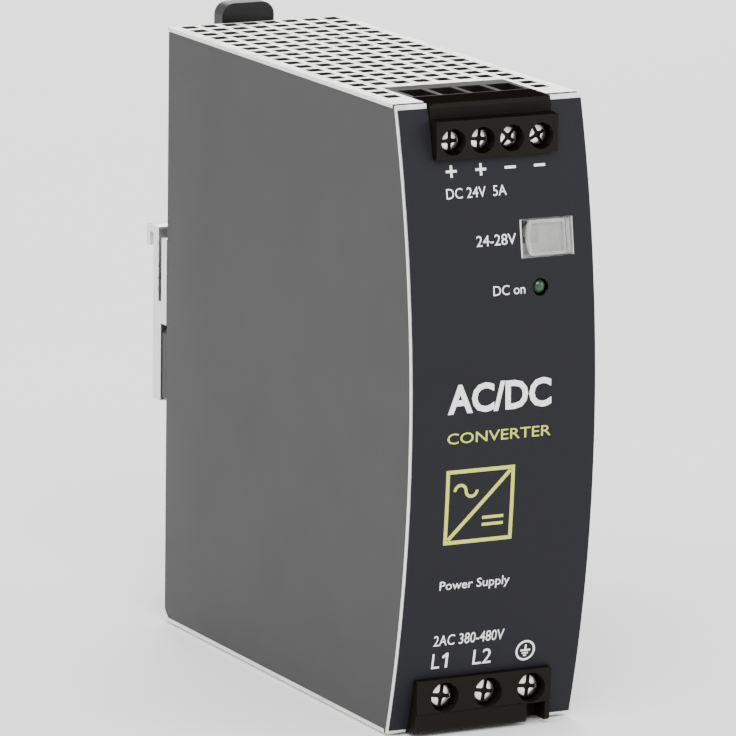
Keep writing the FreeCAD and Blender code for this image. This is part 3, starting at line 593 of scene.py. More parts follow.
def side_shell():
    """Bent aluminium: both sides and the back, folded round at the rear corners."""
    cut_low, cut_high = 1.6 * MM, 0.3 * MM
    zs = lines(SHELL_LOW.z, SHELL_HIGH.z, 2.2 * MM, SHELL_LOW.z + cut_low, SHELL_HIGH.z - cut_high)
    fold, steps = 0.6 * MM, 5
    bm = bmesh.new()
    rings = []
    for z in zs:
        back = REAR - max(0.0, cut_low - (z - SHELL_LOW.z), cut_high - (SHELL_HIGH.z - z))
        edge = front(0, z, FOIL + SHEET + 0.05 * MM).y
        outer, inner = [], []
        for path, offset, radius in ((outer, 0.0, fold), (inner, WALL, 0.15 * MM)):
            x, y = -HALF + offset, back - offset
            path.append((x, edge))
            path.append((x, y - 20 * MM))
            for k in range(steps + 1):
                turn = math.pi / 2 * k / steps
                path.append((x + radius - radius * math.cos(turn), y - radius + radius * math.sin(turn)))
        for path in (outer, inner):
            path.extend([(-x, y) for x, y in reversed(path)])
        rings.append([[bm.verts.new((x, y, z)) for x, y in path] for path in (outer, inner)])
    count = len(rings[0][0])
    for low, high in zip(rings, rings[1:]):
        for side in (0, 1):
            for k in range(count - 1):
                face = bm.faces.new((low[side][k], low[side][k + 1], high[side][k + 1], high[side][k]))
                face.material_index = side
        for k in (0, count - 1):
            bm.faces.new((low[0][k], low[1][k], high[1][k], high[0][k]))
    for ring in (rings[0], rings[-1]):
        for k in range(count - 1):
            bm.faces.new((ring[0][k], ring[0][k + 1], ring[1][k + 1], ring[1][k]))
    shell = show("side_and_back_shell", to_mesh("side_and_back_shell", bm), SIDE_PAINT, "housing",
                 ("housing_body",), 0.12 * MM)
    # The inner faces take the near-black painted shade of the housing's inside.
    shell.data.materials.append(INNER_SHADE)
    return shell


side_shell()

HOLE, ACROSS, ALONG = 3.2 * MM, 4.6 * MM, 4.76 * MM
COLUMNS, ROWS, EXTRA_ROWS = 8, 17, 3
FIRST_ROW = -84.7 * MM
NOTCH_BACK = -89.1 * MM
SCREW_X, SCREW_IN = 12.5 * MM, 5.5 * MM
TAB_WIDE, TAB_LONG = 9 * MM, 8 * MM
SEAM = 0.25 * MM


def perforated_sheet(name, node, face, inward, notch):
    """Plated sheet with a grid of square holes, a terminal notch and two folded tabs."""
    face_middle = face + inward * SHEET / 2
    columns = [(k - (COLUMNS - 1) / 2) * ACROSS for k in range(COLUMNS)]
    rows = [FIRST_ROW + k * ALONG for k in range(-EXTRA_ROWS, ROWS)]
    front_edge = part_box(node)[0].y + SEAM
    xs = sorted({-HALF, HALF, notch[0], notch[1], *(x + s * HOLE / 2 for x in columns for s in (-1, 1))})
    ys = sorted({front_edge, REAR, NOTCH_BACK, *(y + s * HOLE / 2 for y in rows for s in (-1, 1))})

    def is_open(x, y):
        if notch[0] < x < notch[1] and y < NOTCH_BACK:
            return True
        full = y > FIRST_ROW - HOLE
        column_hit = [k for k, c in enumerate(columns) if abs(x - c) < HOLE / 2]
        row_hit = any(abs(y - r) < HOLE / 2 for r in rows)
        return bool(column_hit) and row_hit and (full or column_hit[0] in (0, COLUMNS - 1))

    bm = cell_sheet(xs, ys, is_open, lambda x, y, d: Vector((x, y, face + inward * d)), SHEET)
    bmesh.ops.recalc_face_normals(bm, faces=bm.faces)
    corners = [edge for edge in bm.edges if (edge.verts[0].co - edge.verts[1].co).length < 1.1 * SHEET
               and abs(edge.verts[0].co.z - edge.verts[1].co.z) > 0.5 * SHEET and len(edge.link_faces) == 2
               and edge.calc_face_angle_signed(0) < -0.5]
    bmesh.ops.bevel(bm, geom=corners, offset=0.35 * MM, segments=3, profile=0.5, affect="EDGES")
    tab_y = REAR - WALL
    ends = (face + inward * SHEET / 2, face + inward * TAB_LONG)
    bend = [(tab_y, ends[0]), (tab_y, ends[1]), (tab_y - SHEET, ends[1]), (tab_y - SHEET, ends[0])]
    for side in (-1, 1):
        add_prism(bm, bend, side * SCREW_X - TAB_WIDE / 2, side * SCREW_X + TAB_WIDE / 2, "x")
    sheet = show(name, to_mesh(name, bm), ZINC, "housing", (node,), 0.09 * MM)
    edge = 0.6 * SHEET

    def is_hole_wall(face):
        upright = abs(face.normal.z) < 0.5 and abs(face.center.z - face_middle) < edge
        return upright and abs(face.center.x) < HALF - edge and face.center.y < REAR - edge

    # Hole walls get the darkened cut-edge finish, which is partly painted shade.
    return refinish(sheet, PUNCHED_EDGE_AND_SHADE, is_hole_wall)


perforated_sheet("perforated_top", "top_grille", TOP, -1, (OUT_NOTCH[0], OUT_NOTCH[1]))
perforated_sheet("perforated_bottom", "bottom_grille", BASE, 1, (IN_NOTCH[0], IN_NOTCH[1]))

# ---------------------------------------------------------------- terminals

FACE_Y = OUT_LOW.y
RECESS = 1.9 * MM
APRON_BACK = -101.2 * MM


def screw_places(kind, count):
    places = []
    for index in range(1, count + 1):
        low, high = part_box(f"{kind}_screw_{index}")
        places.append(((low.x + high.x) / 2, (low.z + high.z) / 2))
    return places


OUT_SCREWS = screw_places("output", 4)
IN_SCREWS = screw_places("input", 3)


def funnel(x, half, y_low, y_high, mouth, depth, flare):
    """A wire funnel that narrows from the mouth."""
    bm = bmesh.new()
    ends = []
    for z, grow in ((mouth, flare), (depth, 0.0)):
        ends.append([bm.verts.new((x + sx * (half + grow), y, z)) for sx, y in
                     ((-1, y_low - grow), (1, y_low - grow), (1, y_high + grow), (-1, y_high + grow))])
    bm.faces.new(ends[0])
    bm.faces.new(ends[1])
    for k in range(4):
        bm.faces.new((ends[0][k], ends[0][(k + 1) % 4], ends[1][(k + 1) % 4], ends[1][k]))
    return to_mesh("tool", bm)


def clamp_tools(kind, places, hole, z_mouth, inward):
    """Cuts for each pole: screw recess, clamp cavity and wire funnel."""
    tools = []
    for index, (x, z) in enumerate(places, start=1):
        low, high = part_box(f"{kind}_cage_{index}")
        half = (high.x - low.x) / 2
        tools.append(prism_tool(circle(x, z, hole), FACE_Y - 1 * MM, FACE_Y + RECESS + 1.6 * MM, "y"))
        tools.append(box_tool((x - half - 0.1 * MM, -106.8 * MM, low.z - 1 * MM),
                              (x + half + 0.1 * MM, high.y + 0.6 * MM, high.z + 1 * MM)))
        mouth = z_mouth - inward * 0.2 * MM
        tools.append(funnel(x, half - 0.25 * MM, -100.6 * MM, -93.9 * MM, mouth, z, 0.28 * MM))
    return tools


def corner_waste(x, z, side, radius):
    """The area outside a rounded upper corner at x, z."""
    centre = (x - side * radius, z - radius)
    steps, over = 8, 0.5 * MM
    turns = [math.pi / 2 * k / steps for k in range(steps + 1)]
    arc = [(centre[0] + side * radius * math.cos(turn), centre[1] + radius * math.sin(turn))
           for turn in turns]
    return [*arc, (centre[0], z + over), (x + side * over, z + over), (x + side * over, centre[1])]


def output_block():
    """Top terminal block with a set-back brow over its four screws."""
    step_z, foot_z = BASE + 120.9 * MM, BASE + 113.5 * MM
    brow_y, foot_y = FACE_Y + 3.05 * MM, FACE_Y + 2.6 * MM
    apron_z = OUT_HIGH.z - 0.15 * MM
    profile = [(foot_y, OUT_LOW.z), (OUT_HIGH.y, OUT_LOW.z), (OUT_HIGH.y, OUT_HIGH.z),
               (APRON_BACK, OUT_HIGH.z), (APRON_BACK, apron_z), (brow_y + 0.6 * MM, apron_z),
               (brow_y, apron_z - 0.7 * MM), (brow_y, step_z + 0.1 * MM), (FACE_Y, step_z),
               (FACE_Y, foot_z), (foot_y, foot_z)]
    bm = bmesh.new()
    add_prism(bm, profile, OUT_LOW.x, OUT_HIGH.x, "x")
    tools = clamp_tools("output", OUT_SCREWS, 2.6 * MM, TOP, -1)
    for side, edge in ((-1, OUT_LOW.x), (1, OUT_HIGH.x)):
        waste = corner_waste(edge, OUT_HIGH.z, side, 1.6 * MM)
        tools.append(prism_tool(waste, FACE_Y - 1 * MM, brow_y + 1 * MM, "y"))
    mesh = carved("output_block", to_mesh("output_block", bm), tools)
    moulding = show("output_block", mesh, BLOCK_BLACK, "housing",
                    ("output_terminal_block",), 0.1 * MM)
    # Upward faces in front of the apron get the unreflecting painted-shade copy of the terminal black.
    return refinish(moulding, BROW_TOP_SHADE, lambda face: face.normal.z > 0.7 and face.center.y < APRON_BACK)


def input_block():
    """Bottom terminal block with a lip below its screws and a gap at the earth pole."""
    lip_z = BASE + 4.45 * MM
    roof_y, roof_z, lip_y = FACE_Y + 2.6 * MM, BASE + 11 * MM, FACE_Y + 0.5 * MM
    profile = [(lip_y, IN_LOW.z + 0.5 * MM), (lip_y + 0.5 * MM, IN_LOW.z), (IN_HIGH.y, IN_LOW.z),
               (IN_HIGH.y, IN_HIGH.z), (roof_y, IN_HIGH.z), (roof_y, roof_z),
               (FACE_Y, roof_z), (FACE_Y, lip_z), (lip_y, lip_z - 0.3 * MM)]
    bm = bmesh.new()
    add_prism(bm, profile, IN_LOW.x, IN_HIGH.x, "x")
    tools = clamp_tools("input", IN_SCREWS, 3.0 * MM, BASE, 1)
    earth_left, earth_right, earth_top = 8.8 * MM, 12.85 * MM, BASE + 4.05 * MM
    tools.append(box_tool((earth_left, FACE_Y - 1 * MM, BASE - 1 * MM),
                          (earth_right, FACE_Y + 5 * MM, earth_top)))
    mesh = carved("input_block", to_mesh("input_block", bm), tools)
    return show("input_block", mesh, BLOCK_BLACK, "housing", ("input_terminal_block",),
                0.12 * MM)


output_block()
input_block()


def lathe(bm, x, z, outline, count=48):
    """Turned skin about a Y axis from (radius, y) pairs, closed if they start and end on the axis."""
    rings = []
    for radius, y in outline:
        spots = [(x, z)] if radius < 1e-9 else circle(x, z, radius, count)
        rings.append([bm.verts.new((cx, y, cz)) for cx, cz in spots])
    for first, second in zip(rings, rings[1:]):
        for k in range(count):
            after = (k + 1) % count
            quad = [first[k % len(first)], first[after % len(first)], second[after % len(second)],
                    second[k % len(second)]]
            bm.faces.new(list(dict.fromkeys(quad)))
    return rings


def terminal_screw(kind, index, place, clock):
    """Cheese-head screw: four raised quadrants between the wide arms of its cross, and a shank."""
    x, z = place
    low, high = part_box(f"{kind}_screw_{index}")
    head = (high.x - low.x) / 2
    crown, under, tip = low.y, low.y + 1.6 * MM, high.y
    shank = 0.7 * head
    bm = bmesh.new()
    lathe(bm, x, z, [(0.0, crown), (0.8 * head, crown), (0.93 * head, crown + 0.12 * MM),
                     (head, crown + 0.4 * MM), (head, under), (shank, under), (shank, tip - 0.4 * MM),
                     (shank - 0.4 * MM, tip), (0.0, tip)])
    spin = Matrix.Rotation(math.radians(clock), 4, "Y")
    turn = Matrix.Translation((x, 0, z)) @ spin
    tools = []
    for wide, tall, deep in ((0.34 * head, 2.6 * head, 0.62 * MM), (1.6 * head, 0.34 * head, 0.62 * MM),
                             (0.66 * head, 0.66 * head, 0.75 * MM)):
        cutter = bmesh.new()
        spot = turn @ Matrix.Rotation(math.radians(45), 4, "Y") if wide == tall else turn
        add_box(cutter, (-wide / 2, crown - 1 * MM, -tall / 2), (wide / 2, crown + deep, tall / 2), spot)
        tools.append(to_mesh("tool", cutter))
    name = f"{kind}_terminal_screw_{index}"
    metal = turned(f"{name}_nickel", (0.92, 0.9, 0.84), (x, 0, z))
    mesh = carved(name, to_mesh("screw", bm), tools)
    recess = crown + 0.2 * MM
    obj = show(name, mesh, metal, f"{kind}_screw_{index}_body", (f"{kind}_screw_{index}",),
               0.05 * MM)

    def in_recess(face):
        reach = math.hypot(face.center.x - x, face.center.z - z)
        return recess < face.center.y < under - 0.3 * MM and reach < 0.93 * head

    # Faces inside the cross recess get the dark painted shade.
    return refinish(obj, RECESS_SHADE, in_recess)


for index, (place, clock) in enumerate(zip(OUT_SCREWS, (0, 4, 42, -28)), start=1):
    terminal_screw("output", index, place, clock)
for index, (place, clock) in enumerate(zip(IN_SCREWS, (8, 10, 6)), start=1):
    terminal_screw("input", index, place, clock)

# ---------------------------------------------------------------- print on the front

PRINT_HIGH = 0.035 * MM


def printed(name, bm, material):
    """Bend a flat print, drawn as faces in x and z, onto the front, with a thin closed thickness."""
    bmesh.ops.remove_doubles(bm, verts=bm.verts, dist=1e-7)
    heights = [vert.co.z for vert in bm.verts]
    level = min(heights) + 1 * MM
    while level < max(heights):
        everything = bm.verts[:] + bm.edges[:] + bm.faces[:]
        bmesh.ops.bisect_plane(bm, geom=everything, dist=1e-8, plane_co=(0, 0, level), plane_no=(0, 0, 1))
        level += 1 * MM
    bmesh.ops.triangulate(bm, faces=[face for face in bm.faces if len(face.verts) > 4])
    flat = {vert: (vert.co.x, vert.co.z) for vert in bm.verts}
    lower = bm.faces[:]
    border = [edge for edge in bm.edges if len(edge.link_faces) == 1]
    twin = {}
    for vert, (x, z) in flat.items():
        twin[vert] = bm.verts.new(front(x, z, -PRINT_HIGH))
    for face in lower:
        bm.faces.new([twin[v] for v in reversed(face.verts)])
    for edge in border:
        a, b = edge.verts
        bm.faces.new((a, b, twin[b], twin[a]))
    for vert, (x, z) in flat.items():
        vert.co = front(x, z, 0.01 * MM)
    mesh = to_mesh(name, bm)
    return show(name, mesh, material, "housing", angle=40.0)


def lettering(name, text, left, right, low, high, material=PRINT_WHITE, bold=0.0):
    """Plain text stretched into a box on the front; sizes in millimetres from the bottom."""
    curve = bpy.data.curves.new(name, "FONT")
    curve.body = text
    curve.resolution_u = 3
    curve.offset = bold
    holder = bpy.data.objects.new(name, curve)
    bpy.context.scene.collection.objects.link(holder)
    graph = bpy.context.evaluated_depsgraph_get()
    mesh = bpy.data.meshes.new_from_object(holder.evaluated_get(graph))
    bpy.data.objects.remove(holder)
    bm = bmesh.new()
    bm.from_mesh(mesh)
    xs = [v.co.x for v in bm.verts]
    ys = [v.co.y for v in bm.verts]
    wide, tall = max(xs) - min(xs), max(ys) - min(ys)
    for vert in bm.verts:
        x = left + (vert.co.x - min(xs)) / wide * (right - left)
        z = low + (vert.co.y - min(ys)) / tall * (high - low)
        vert.co = (x * MM, 0, BASE + z * MM)
    return printed(name, bm, material)


def strokes(name, shapes, material=PRINT_WHITE):
    """Closed outlines in millimetres, x across and z up from the bottom, printed as one piece."""
    bm = bmesh.new()
    for shape in shapes:
        bm.faces.new([bm.verts.new((x * MM, 0, BASE + z * MM)) for x, z in shape])
    return printed(name, bm, material)


def bar(x, z, wide, tall, angle=0.0):
    spin = Matrix.Rotation(math.radians(angle), 2)
    return [tuple(Vector((x, z)) + spin @ Vector((sx * wide / 2, sz * tall / 2)))
            for sx, sz in ((-1, -1), (1, -1), (1, 1), (-1, 1))]


def arc_band(x, z, radius, thick, start, end, steps):
    """Quads along an arc."""
    result = []
    for k in range(steps):
        a, b = (math.radians(start + (end - start) * n / steps) for n in (k, k + 1))
        inner, outer = radius - thick / 2, radius + thick / 2
        result.append([(x + inner * math.cos(a), z + inner * math.sin(a)),
                       (x + outer * math.cos(a), z + outer * math.sin(a)),
                       (x + outer * math.cos(b), z + outer * math.sin(b)),
                       (x + inner * math.cos(b), z + inner * math.sin(b))])
    return result


def cross(x, z, arm, thick):
    away, long = (arm + thick) / 4, (arm - thick) / 2
    return [bar(x - away, z, long, thick), bar(x, z, thick, thick), bar(x + away, z, long, thick),
            bar(x, z + away, thick, long), bar(x, z - away, thick, long)]


strokes("print_plus_1", cross(-9.58, 111, 2.3, 0.48))
strokes("print_plus_2", cross(-3.2, 111, 2.3, 0.48))
strokes("print_minus_1", [bar(3.2, 111, 2.4, 0.5)])
strokes("print_minus_2", [bar(9.58, 111, 2.4, 0.5)])
lettering("print_output_rating", "DC 24V  5A", -11.0, 2.0, 105.8, 107.8)
lettering("print_trimmer_range", "24-28V", -5.2, 3.4, 96.4, 98.5)
lettering("print_light_name", "DC on", -2.0, 4.9, 86.8, 88.7)
lettering("print_large", "AC/DC", -12.2, 10.3, 64.5, 70.3, bold=0.03)
lettering("print_small", "CONVERTER", -12.2, 10.3, 58.7, 60.8, PRINT_LIME, bold=0.0)
lettering("print_kind", "Power Supply", -12.25, 3.0, 28.8, 31.2)
lettering("print_input_rating", "2AC 380-480V", -12.4, 3.0, 17.8, 20.0)
lettering("print_pole_1", "L", -12.3, -10.6, 13.1, 16.2)
strokes("print_pole_1_number", [[(-9.35, 13.1), (-8.85, 13.1), (-8.85, 16.2), (-9.3, 16.2), (-10.15, 15.55),
                                 (-10.0, 15.1), (-9.35, 15.5)]])
lettering("print_pole_2", "L2", -3.3, 0.7, 13.1, 16.2)


def earth_symbol():
    """Earth mark in a ring."""
    x, z = 8.17, 14.9
    shapes = arc_band(x, z, 1.92, 0.4, 0, 360, 40)
    shapes += [bar(x, z + 0.72, 0.36, 1.0), bar(x, z + 0.04, 2.1, 0.36), bar(x, z - 0.54, 1.35, 0.32),
               bar(x, z - 1.06, 0.65, 0.28)]
    return strokes("print_earth", shapes)


def converter_symbol():
    """The plain drawing sign of a converter: a square with a diagonal, a wave and two bars."""
    left, right, low, high, thick = -12.2, 2.7, 38.6, 53.5, 0.75
    shapes = [bar((left + right) / 2, low + thick / 2, right - left, thick),
              bar((left + right) / 2, high - thick / 2, right - left, thick),
              bar(left + thick / 2, (low + high) / 2, thick, high - low - 2 * thick),
              bar(right - thick / 2, (low + high) / 2, thick, high - low - 2 * thick),
              bar((left + right) / 2, (low + high) / 2, (right - left - 2 * thick) * 1.37, thick, 45)]
    cx, cz = left + 4.4, high - 4.3
    shapes += arc_band(cx - 1.2, cz, 1.2, 0.6, 180, 0, 14) + arc_band(cx + 1.2, cz, 1.2, 0.6, 180, 360, 14)
    shapes += [bar(right - 4.4, low + 4.9, 4.6, 0.6), bar(right - 4.4, low + 3.5, 4.6, 0.6)]
    return strokes("print_converter_sign", shapes, PRINT_LIME)


earth_symbol()
converter_symbol()

# ---------------------------------------------------------------- flap, trimmer, light

LEAN = math.asin((BASE + 97.25 * MM - MIDDLE) / RADIUS)
WINDOW_AT = Matrix.Translation(front(0, BASE + 97.25 * MM)) @ Matrix.Rotation(-LEAN, 4, "X")


def leaned(mesh):
    """Move a piece drawn square to the window into the window's leaning plane."""
    mesh.transform(WINDOW_AT)
    return mesh


def bowed(edge, low, high, depth, steps=12):
    """Points down a left edge that bulges outwards in the middle."""
    points = []
    for k in range(steps + 1):
        share = 1 - 2 * k / steps
        points.append((edge + depth * share ** 2, (low + high) / 2 + share * (high - low) / 2))
    return points


def flap():
    """Clear flap: bowed grip edge on the left, raised rim, knuckle and pins on the right."""
    left, right, half, rim = 5.85, 14.6, 3.45, 0.65
    outer = [(right, -half), (right, half), *bowed(left, -half, half, 0.75)]
    ridge = [(right - 0.35, -half), (right - 0.35, half), *bowed(left, -half, half, 0.75)]
    inner = [(right - 0.75, rim - half), (right - 0.75, half - rim),
             *bowed(left + rim, rim - half, half - rim, 0.6)]
    bm = bmesh.new()
    add_prism(bm, [(x * MM, z * MM) for x, z in outer], 0.45 * MM, 0.98 * MM, "y")
    ends = [[bm.verts.new((x * MM, y * MM, z * MM)) for x, z in ring] for y in (0.05, 0.45) for ring in
            (ridge, inner)]
    for k in range(len(outer)):
        after = (k + 1) % len(outer)
        for a, b in ((0, 1), (2, 3), (0, 2), (1, 3)):
            bm.faces.new((ends[a][k], ends[a][after], ends[b][after], ends[b][k]))
    long = 2.9
    add_prism(bm, circle(15.05 * MM, 0.6 * MM, 0.55 * MM, 24), -long * MM, long * MM, "z")
    add_prism(bm, circle(15.05 * MM, 0.6 * MM, 0.35 * MM, 20), -3.4 * MM, 3.4 * MM, "z")
    add_box(bm, (14.5 * MM, 0.15 * MM, -long * MM), (15.05 * MM, 0.9 * MM, long * MM))
    mesh = leaned(to_mesh("clear_flap", bm))
    return show("clear_flap", mesh, CLEAR, "flap", ("trimmer_flap",), 0.06 * MM)


flap()


def flap_frame():
    """Milky frame behind the window: flange, pocket walls, rim at the finger gap and hinge posts."""
    half = 3.75
    bm = bmesh.new()

    def slab(x, y, z):
        add_box(bm, (x[0] * MM, y[0] * MM, z[0] * MM), (x[1] * MM, y[1] * MM, z[1] * MM))

    outer = rounded([(3.2, -half - 1.2), (17, -half - 1.2), (17, half + 1.2), (3.2, half + 1.2)], 0.8)
    add_prism(bm, [(x * MM, z * MM) for x, z in outer], 1.1 * MM, 2 * MM, "y")
    slab((4.2, 16.8), (1.95, 5.4), (-half - 0.4, half + 0.4))
    tools = [box_tool((5 * MM, -1 * MM, (0.4 - half) * MM), (15.95 * MM, 7 * MM, (half - 0.4) * MM))]
    body = carved("flap_frame_body", to_mesh("flap_frame_body", bm), tools)
    bm = bmesh.new()
    bm.from_mesh(body)
    rim = rounded([(4.45, 0.05 - half), (4.78, 0.05 - half), (4.78, half - 0.05), (4.45, half - 0.05)],
                  [0.3, 0, 0, 0.3], 4)
    add_prism(bm, [(x * MM, z * MM) for x, z in rim], 0.1 * MM, 1.2 * MM, "y")
    add_box(bm, (15.74 * MM, 0.02 * MM, (0.05 - half) * MM), (15.88 * MM, 1.3 * MM, (half - 0.05) * MM))
    for low, high in ((0.05 - half, 0.75 - half), (half - 0.75, half - 0.05)):
        add_box(bm, (15.45 * MM, 0.95 * MM, low * MM), (15.8 * MM, 4 * MM, high * MM))
        add_box(bm, (14.5 * MM, 1.15 * MM, low * MM), (15.5 * MM, 4 * MM, high * MM))
    mesh = leaned(to_mesh("flap_frame_piece", bm))
    return show("flap_frame_piece", mesh, MILKY, "housing", ("flap_frame",), 0.06 * MM)


def trimmer():
    """Square case on the control board, and the slotted rotor that a screwdriver turns."""
    low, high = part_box("trimmer_case")
    bm = bmesh.new()
    add_box(bm, low, high)
    show("trimmer_body", to_mesh("trimmer_body", bm), TRIMMER_GREY, "housing",
         ("trimmer_case",), 0.25 * MM, 3)
    low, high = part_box("trimmer_rotor")
    x, z, radius = (low.x + high.x) / 2, (low.z + high.z) / 2, (high.x - low.x) / 2
    bm = bmesh.new()
    add_prism(bm, circle(x, z, radius, 40), low.y, low.y + 0.85 * MM, "y")
    slot = box_tool((x - 0.3 * MM, low.y - 1 * MM, z - 3 * MM), (x + 0.3 * MM, low.y + 0.5 * MM, z + 3 * MM))
    mesh = carved("trimmer_disc", to_mesh("trimmer_disc", bm), [slot])
    show("trimmer_disc", mesh, TRIMMER_WHITE, "trimmer", ("trimmer_rotor",), 0.08 * MM)


def status_light():
    """Domed green light: a half ball on a short barrel with a rim, and its two leads."""
    tip, board = LIGHT_LOW.y, LIGHT_HIGH.y
    radius = 1.5 * MM
    profile = [(radius * math.sin(math.pi / 2 * k / 12), tip + radius * (1 - math.cos(math.pi / 2 * k / 12)))
               for k in range(13)]
    profile += [(radius, tip + 5.5 * MM), (1.8 * MM, tip + 5.5 * MM), (1.8 * MM, tip + 6.5 * MM),
                (0.0, tip + 6.5 * MM)]
    bm = bmesh.new()
    lathe(bm, LIGHT_X, LIGHT_Z, profile, 40)
    lead = 0.25 * MM
    for side in (-1, 1):
        x = LIGHT_X + side * 1.27 * MM
        add_box(bm, (x - lead, tip + 6.4 * MM, LIGHT_Z - lead), (x + lead, board, LIGHT_Z + lead))
    show("light_dome", to_mesh("light_dome", bm), LENS, "housing", ("status_light",),
         0.05 * MM)


flap_frame()
trimmer()
status_light()

# ---------------------------------------------------------------- rail side

BRACKET_LOW, BRACKET_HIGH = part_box("rail_bracket")
LATCH_LOW, LATCH_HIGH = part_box("rail_latch")
RAIL = 17.5


def rail_bracket():
    """Aluminium extrusion with the rail hook, rounded lips, fine grooves and a milled channel."""
    hook = RAIL + 0.35
    points = [(-6.4, -0.5), (-3.8, -0.5), (-3.8, -RAIL + 0.7), (0, -RAIL + 0.7), (0, hook), (1.7, hook),
              (1.7, hook - 3), (3.3, hook - 3), (3.3, hook + 1.6), (-2.5, hook + 1.6), (-2.5, 4), (-3.9, 4),
              (-3.9, RAIL), (-6.4, RAIL)]
    radii = [0.2, 0.2, 0.4, 0.3, 0.3, 0.3, 0.5, 0.5, 1.0, 0.8, 0.3, 0.3, 0.2, 0.2]
    bm = bmesh.new()
    section = [(y * MM, z * MM) for y, z in rounded(points, radii, 4)]
    add_prism(bm, section, BRACKET_LOW.x, BRACKET_HIGH.x, "x")
    tools = [box_tool((-6.8 * MM, -7.4 * MM, -1 * MM), (6.8 * MM, -3.7 * MM, (RAIL + 1) * MM))]
    for k in range(5):
        z = (6.2 + 2.4 * k) * MM
        tools.append(box_tool((-30 * MM, -2.65 * MM, z), (30 * MM, -2.3 * MM, z + 0.5 * MM)))
    mesh = carved("rail_extrusion", to_mesh("rail_extrusion", bm), tools)
    show("rail_extrusion", mesh, ALUMINIUM, "housing", ("rail_bracket",), 0.1 * MM)


def latch():
    """Sprung slider: rounded push button, stem with a spring window, wide foot and the rail hook."""
    front_y, back_y = LATCH_LOW.y, LATCH_LOW.y + 2.1 * MM
    top = LATCH_HIGH.z / MM
    half, foot, wide = 6.5, BRACKET_HIGH.x / MM - 0.2, 5.9
    button_low, button_front = top - 10.4, -2.6 * MM
    hook_low, foot_low, foot_high = -RAIL - 3.6, -RAIL + 0.5, -1.2
    right = [(8, hook_low), (8, foot_low), (foot - 1.2, foot_low), (foot, foot_low + 1.2),
             (foot, foot_high - 1.2), (foot - 1.2, foot_high), (half, foot_high), (half, button_low + 1)]
    points = [*[(-x, z) for x, z in reversed(right)], *right]
    bm = bmesh.new()
    add_prism(bm, [(x * MM, z * MM) for x, z in points], front_y, back_y, "y")
    plate = to_mesh("latch_plate", bm)
    tools = [box_tool((-2.9 * MM, front_y - 1 * MM, 20.9 * MM), (2.9 * MM, back_y + 1 * MM, 36 * MM))]
    for side in (-1, 1):
        x, reach = side * 12.4 * MM, 4.2 * MM
        tools.append(box_tool((x - reach, back_y - 0.7 * MM, -14.5 * MM),
                              (x + reach, back_y + 1 * MM, -4 * MM)))
    carved_plate = carved("latch_plate", plate, tools)
    bm = bmesh.new()
    bm.from_mesh(carved_plate)
    nose = [(-6.2, -RAIL - 0.4), (-6.2, hook_low), (2.1, hook_low), (3.3, hook_low + 1.8),
            (3.3, -RAIL + 0.9), (2.2, -RAIL + 2.2), (1.7, -RAIL + 2.2), (1.7, -RAIL - 0.4)]
    nose = rounded(nose, [0, 0.5, 0.6, 0.6, 0.4, 0.2, 0.2, 0.4], 3)
    add_prism(bm, [(y * MM, z * MM) for y, z in nose], -8 * MM, 8 * MM, "x")
    button = [(-wide, button_low), (wide, button_low), (wide, top), (-wide, top)]
    button = rounded(button, [0, 0, 2.75, 2.75], 8)
    add_prism(bm, [(x * MM, z * MM) for x, z in button], button_front, button_front + 4 * MM, "y")
    add_box(bm, (-wide * MM, front_y + 0.02 * MM, button_low * MM),
            (wide * MM, button_front + 0.5 * MM, (top - 5.4) * MM))
    show("latch_slider", to_mesh("latch_slider", bm), BLACK, "latch", ("rail_latch",),
         0.22 * MM, 3)


def block(name, node, material, bevel, body="housing"):
    low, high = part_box(node)
    bm = bmesh.new()
    add_box(bm, low, high)
    return show(name, to_mesh(name, bm), material, body, (node,), bevel)


def latch_spring():
    """Coil spring between the fixed rest and the sliding stem; the real one shortens as the latch goes down.
    """
    low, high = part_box("latch_spring")
    wire, turns, steps, sides = 0.25 * MM, 8, 28, 8
    middle = (low + high) / 2
    reach = (high.x - low.x) / 2 - wire
    bottom, top = low.z + wire, high.z - wire
    bm = bmesh.new()
    rings = []
    for k in range(turns * steps + 1):
        angle = 2 * math.pi * k / steps
        out = Vector((math.cos(angle), math.sin(angle), 0))
        spot = middle + out * reach
        spot.z = bottom + (top - bottom) * k / (turns * steps)
        rings.append([bm.verts.new(spot + (out * math.cos(a) + Vector((0, 0, math.sin(a)))) * wire)
                      for a in (2 * math.pi * n / sides for n in range(sides))])
    for first, second in zip(rings, rings[1:]):
        for n in range(sides):
            after = (n + 1) % sides
            bm.faces.new((first[n], first[after], second[after], second[n]))
    bm.faces.new(rings[0])
    bm.faces.new(rings[-1])
    coil = show("latch_coil", to_mesh("latch_coil", bm), SPRING, None, ("latch_spring",),
                angle=60.0)
    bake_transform(coil)


def latch_guide():
    """Bridge that keeps the stem against the back wall."""
    low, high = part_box("latch_guide")
    stem, arch = 6.8 * MM, -3.7 * MM
    outline = [(low.x, low.y), (-stem, low.y), (-stem, arch), (stem, arch), (stem, low.y),
               (high.x, low.y), (high.x, high.y), (low.x, high.y)]
    radii = [0, 0, 0.2 * MM, 0.2 * MM, 0, 0, 0.7 * MM, 0.7 * MM]
    bm = bmesh.new()
    add_prism(bm, rounded(outline, radii, 4), low.z, high.z, "z")
    show("stem_bridge", to_mesh("stem_bridge", bm), BLACK, "housing", ("latch_guide",),
         0.2 * MM, 3)


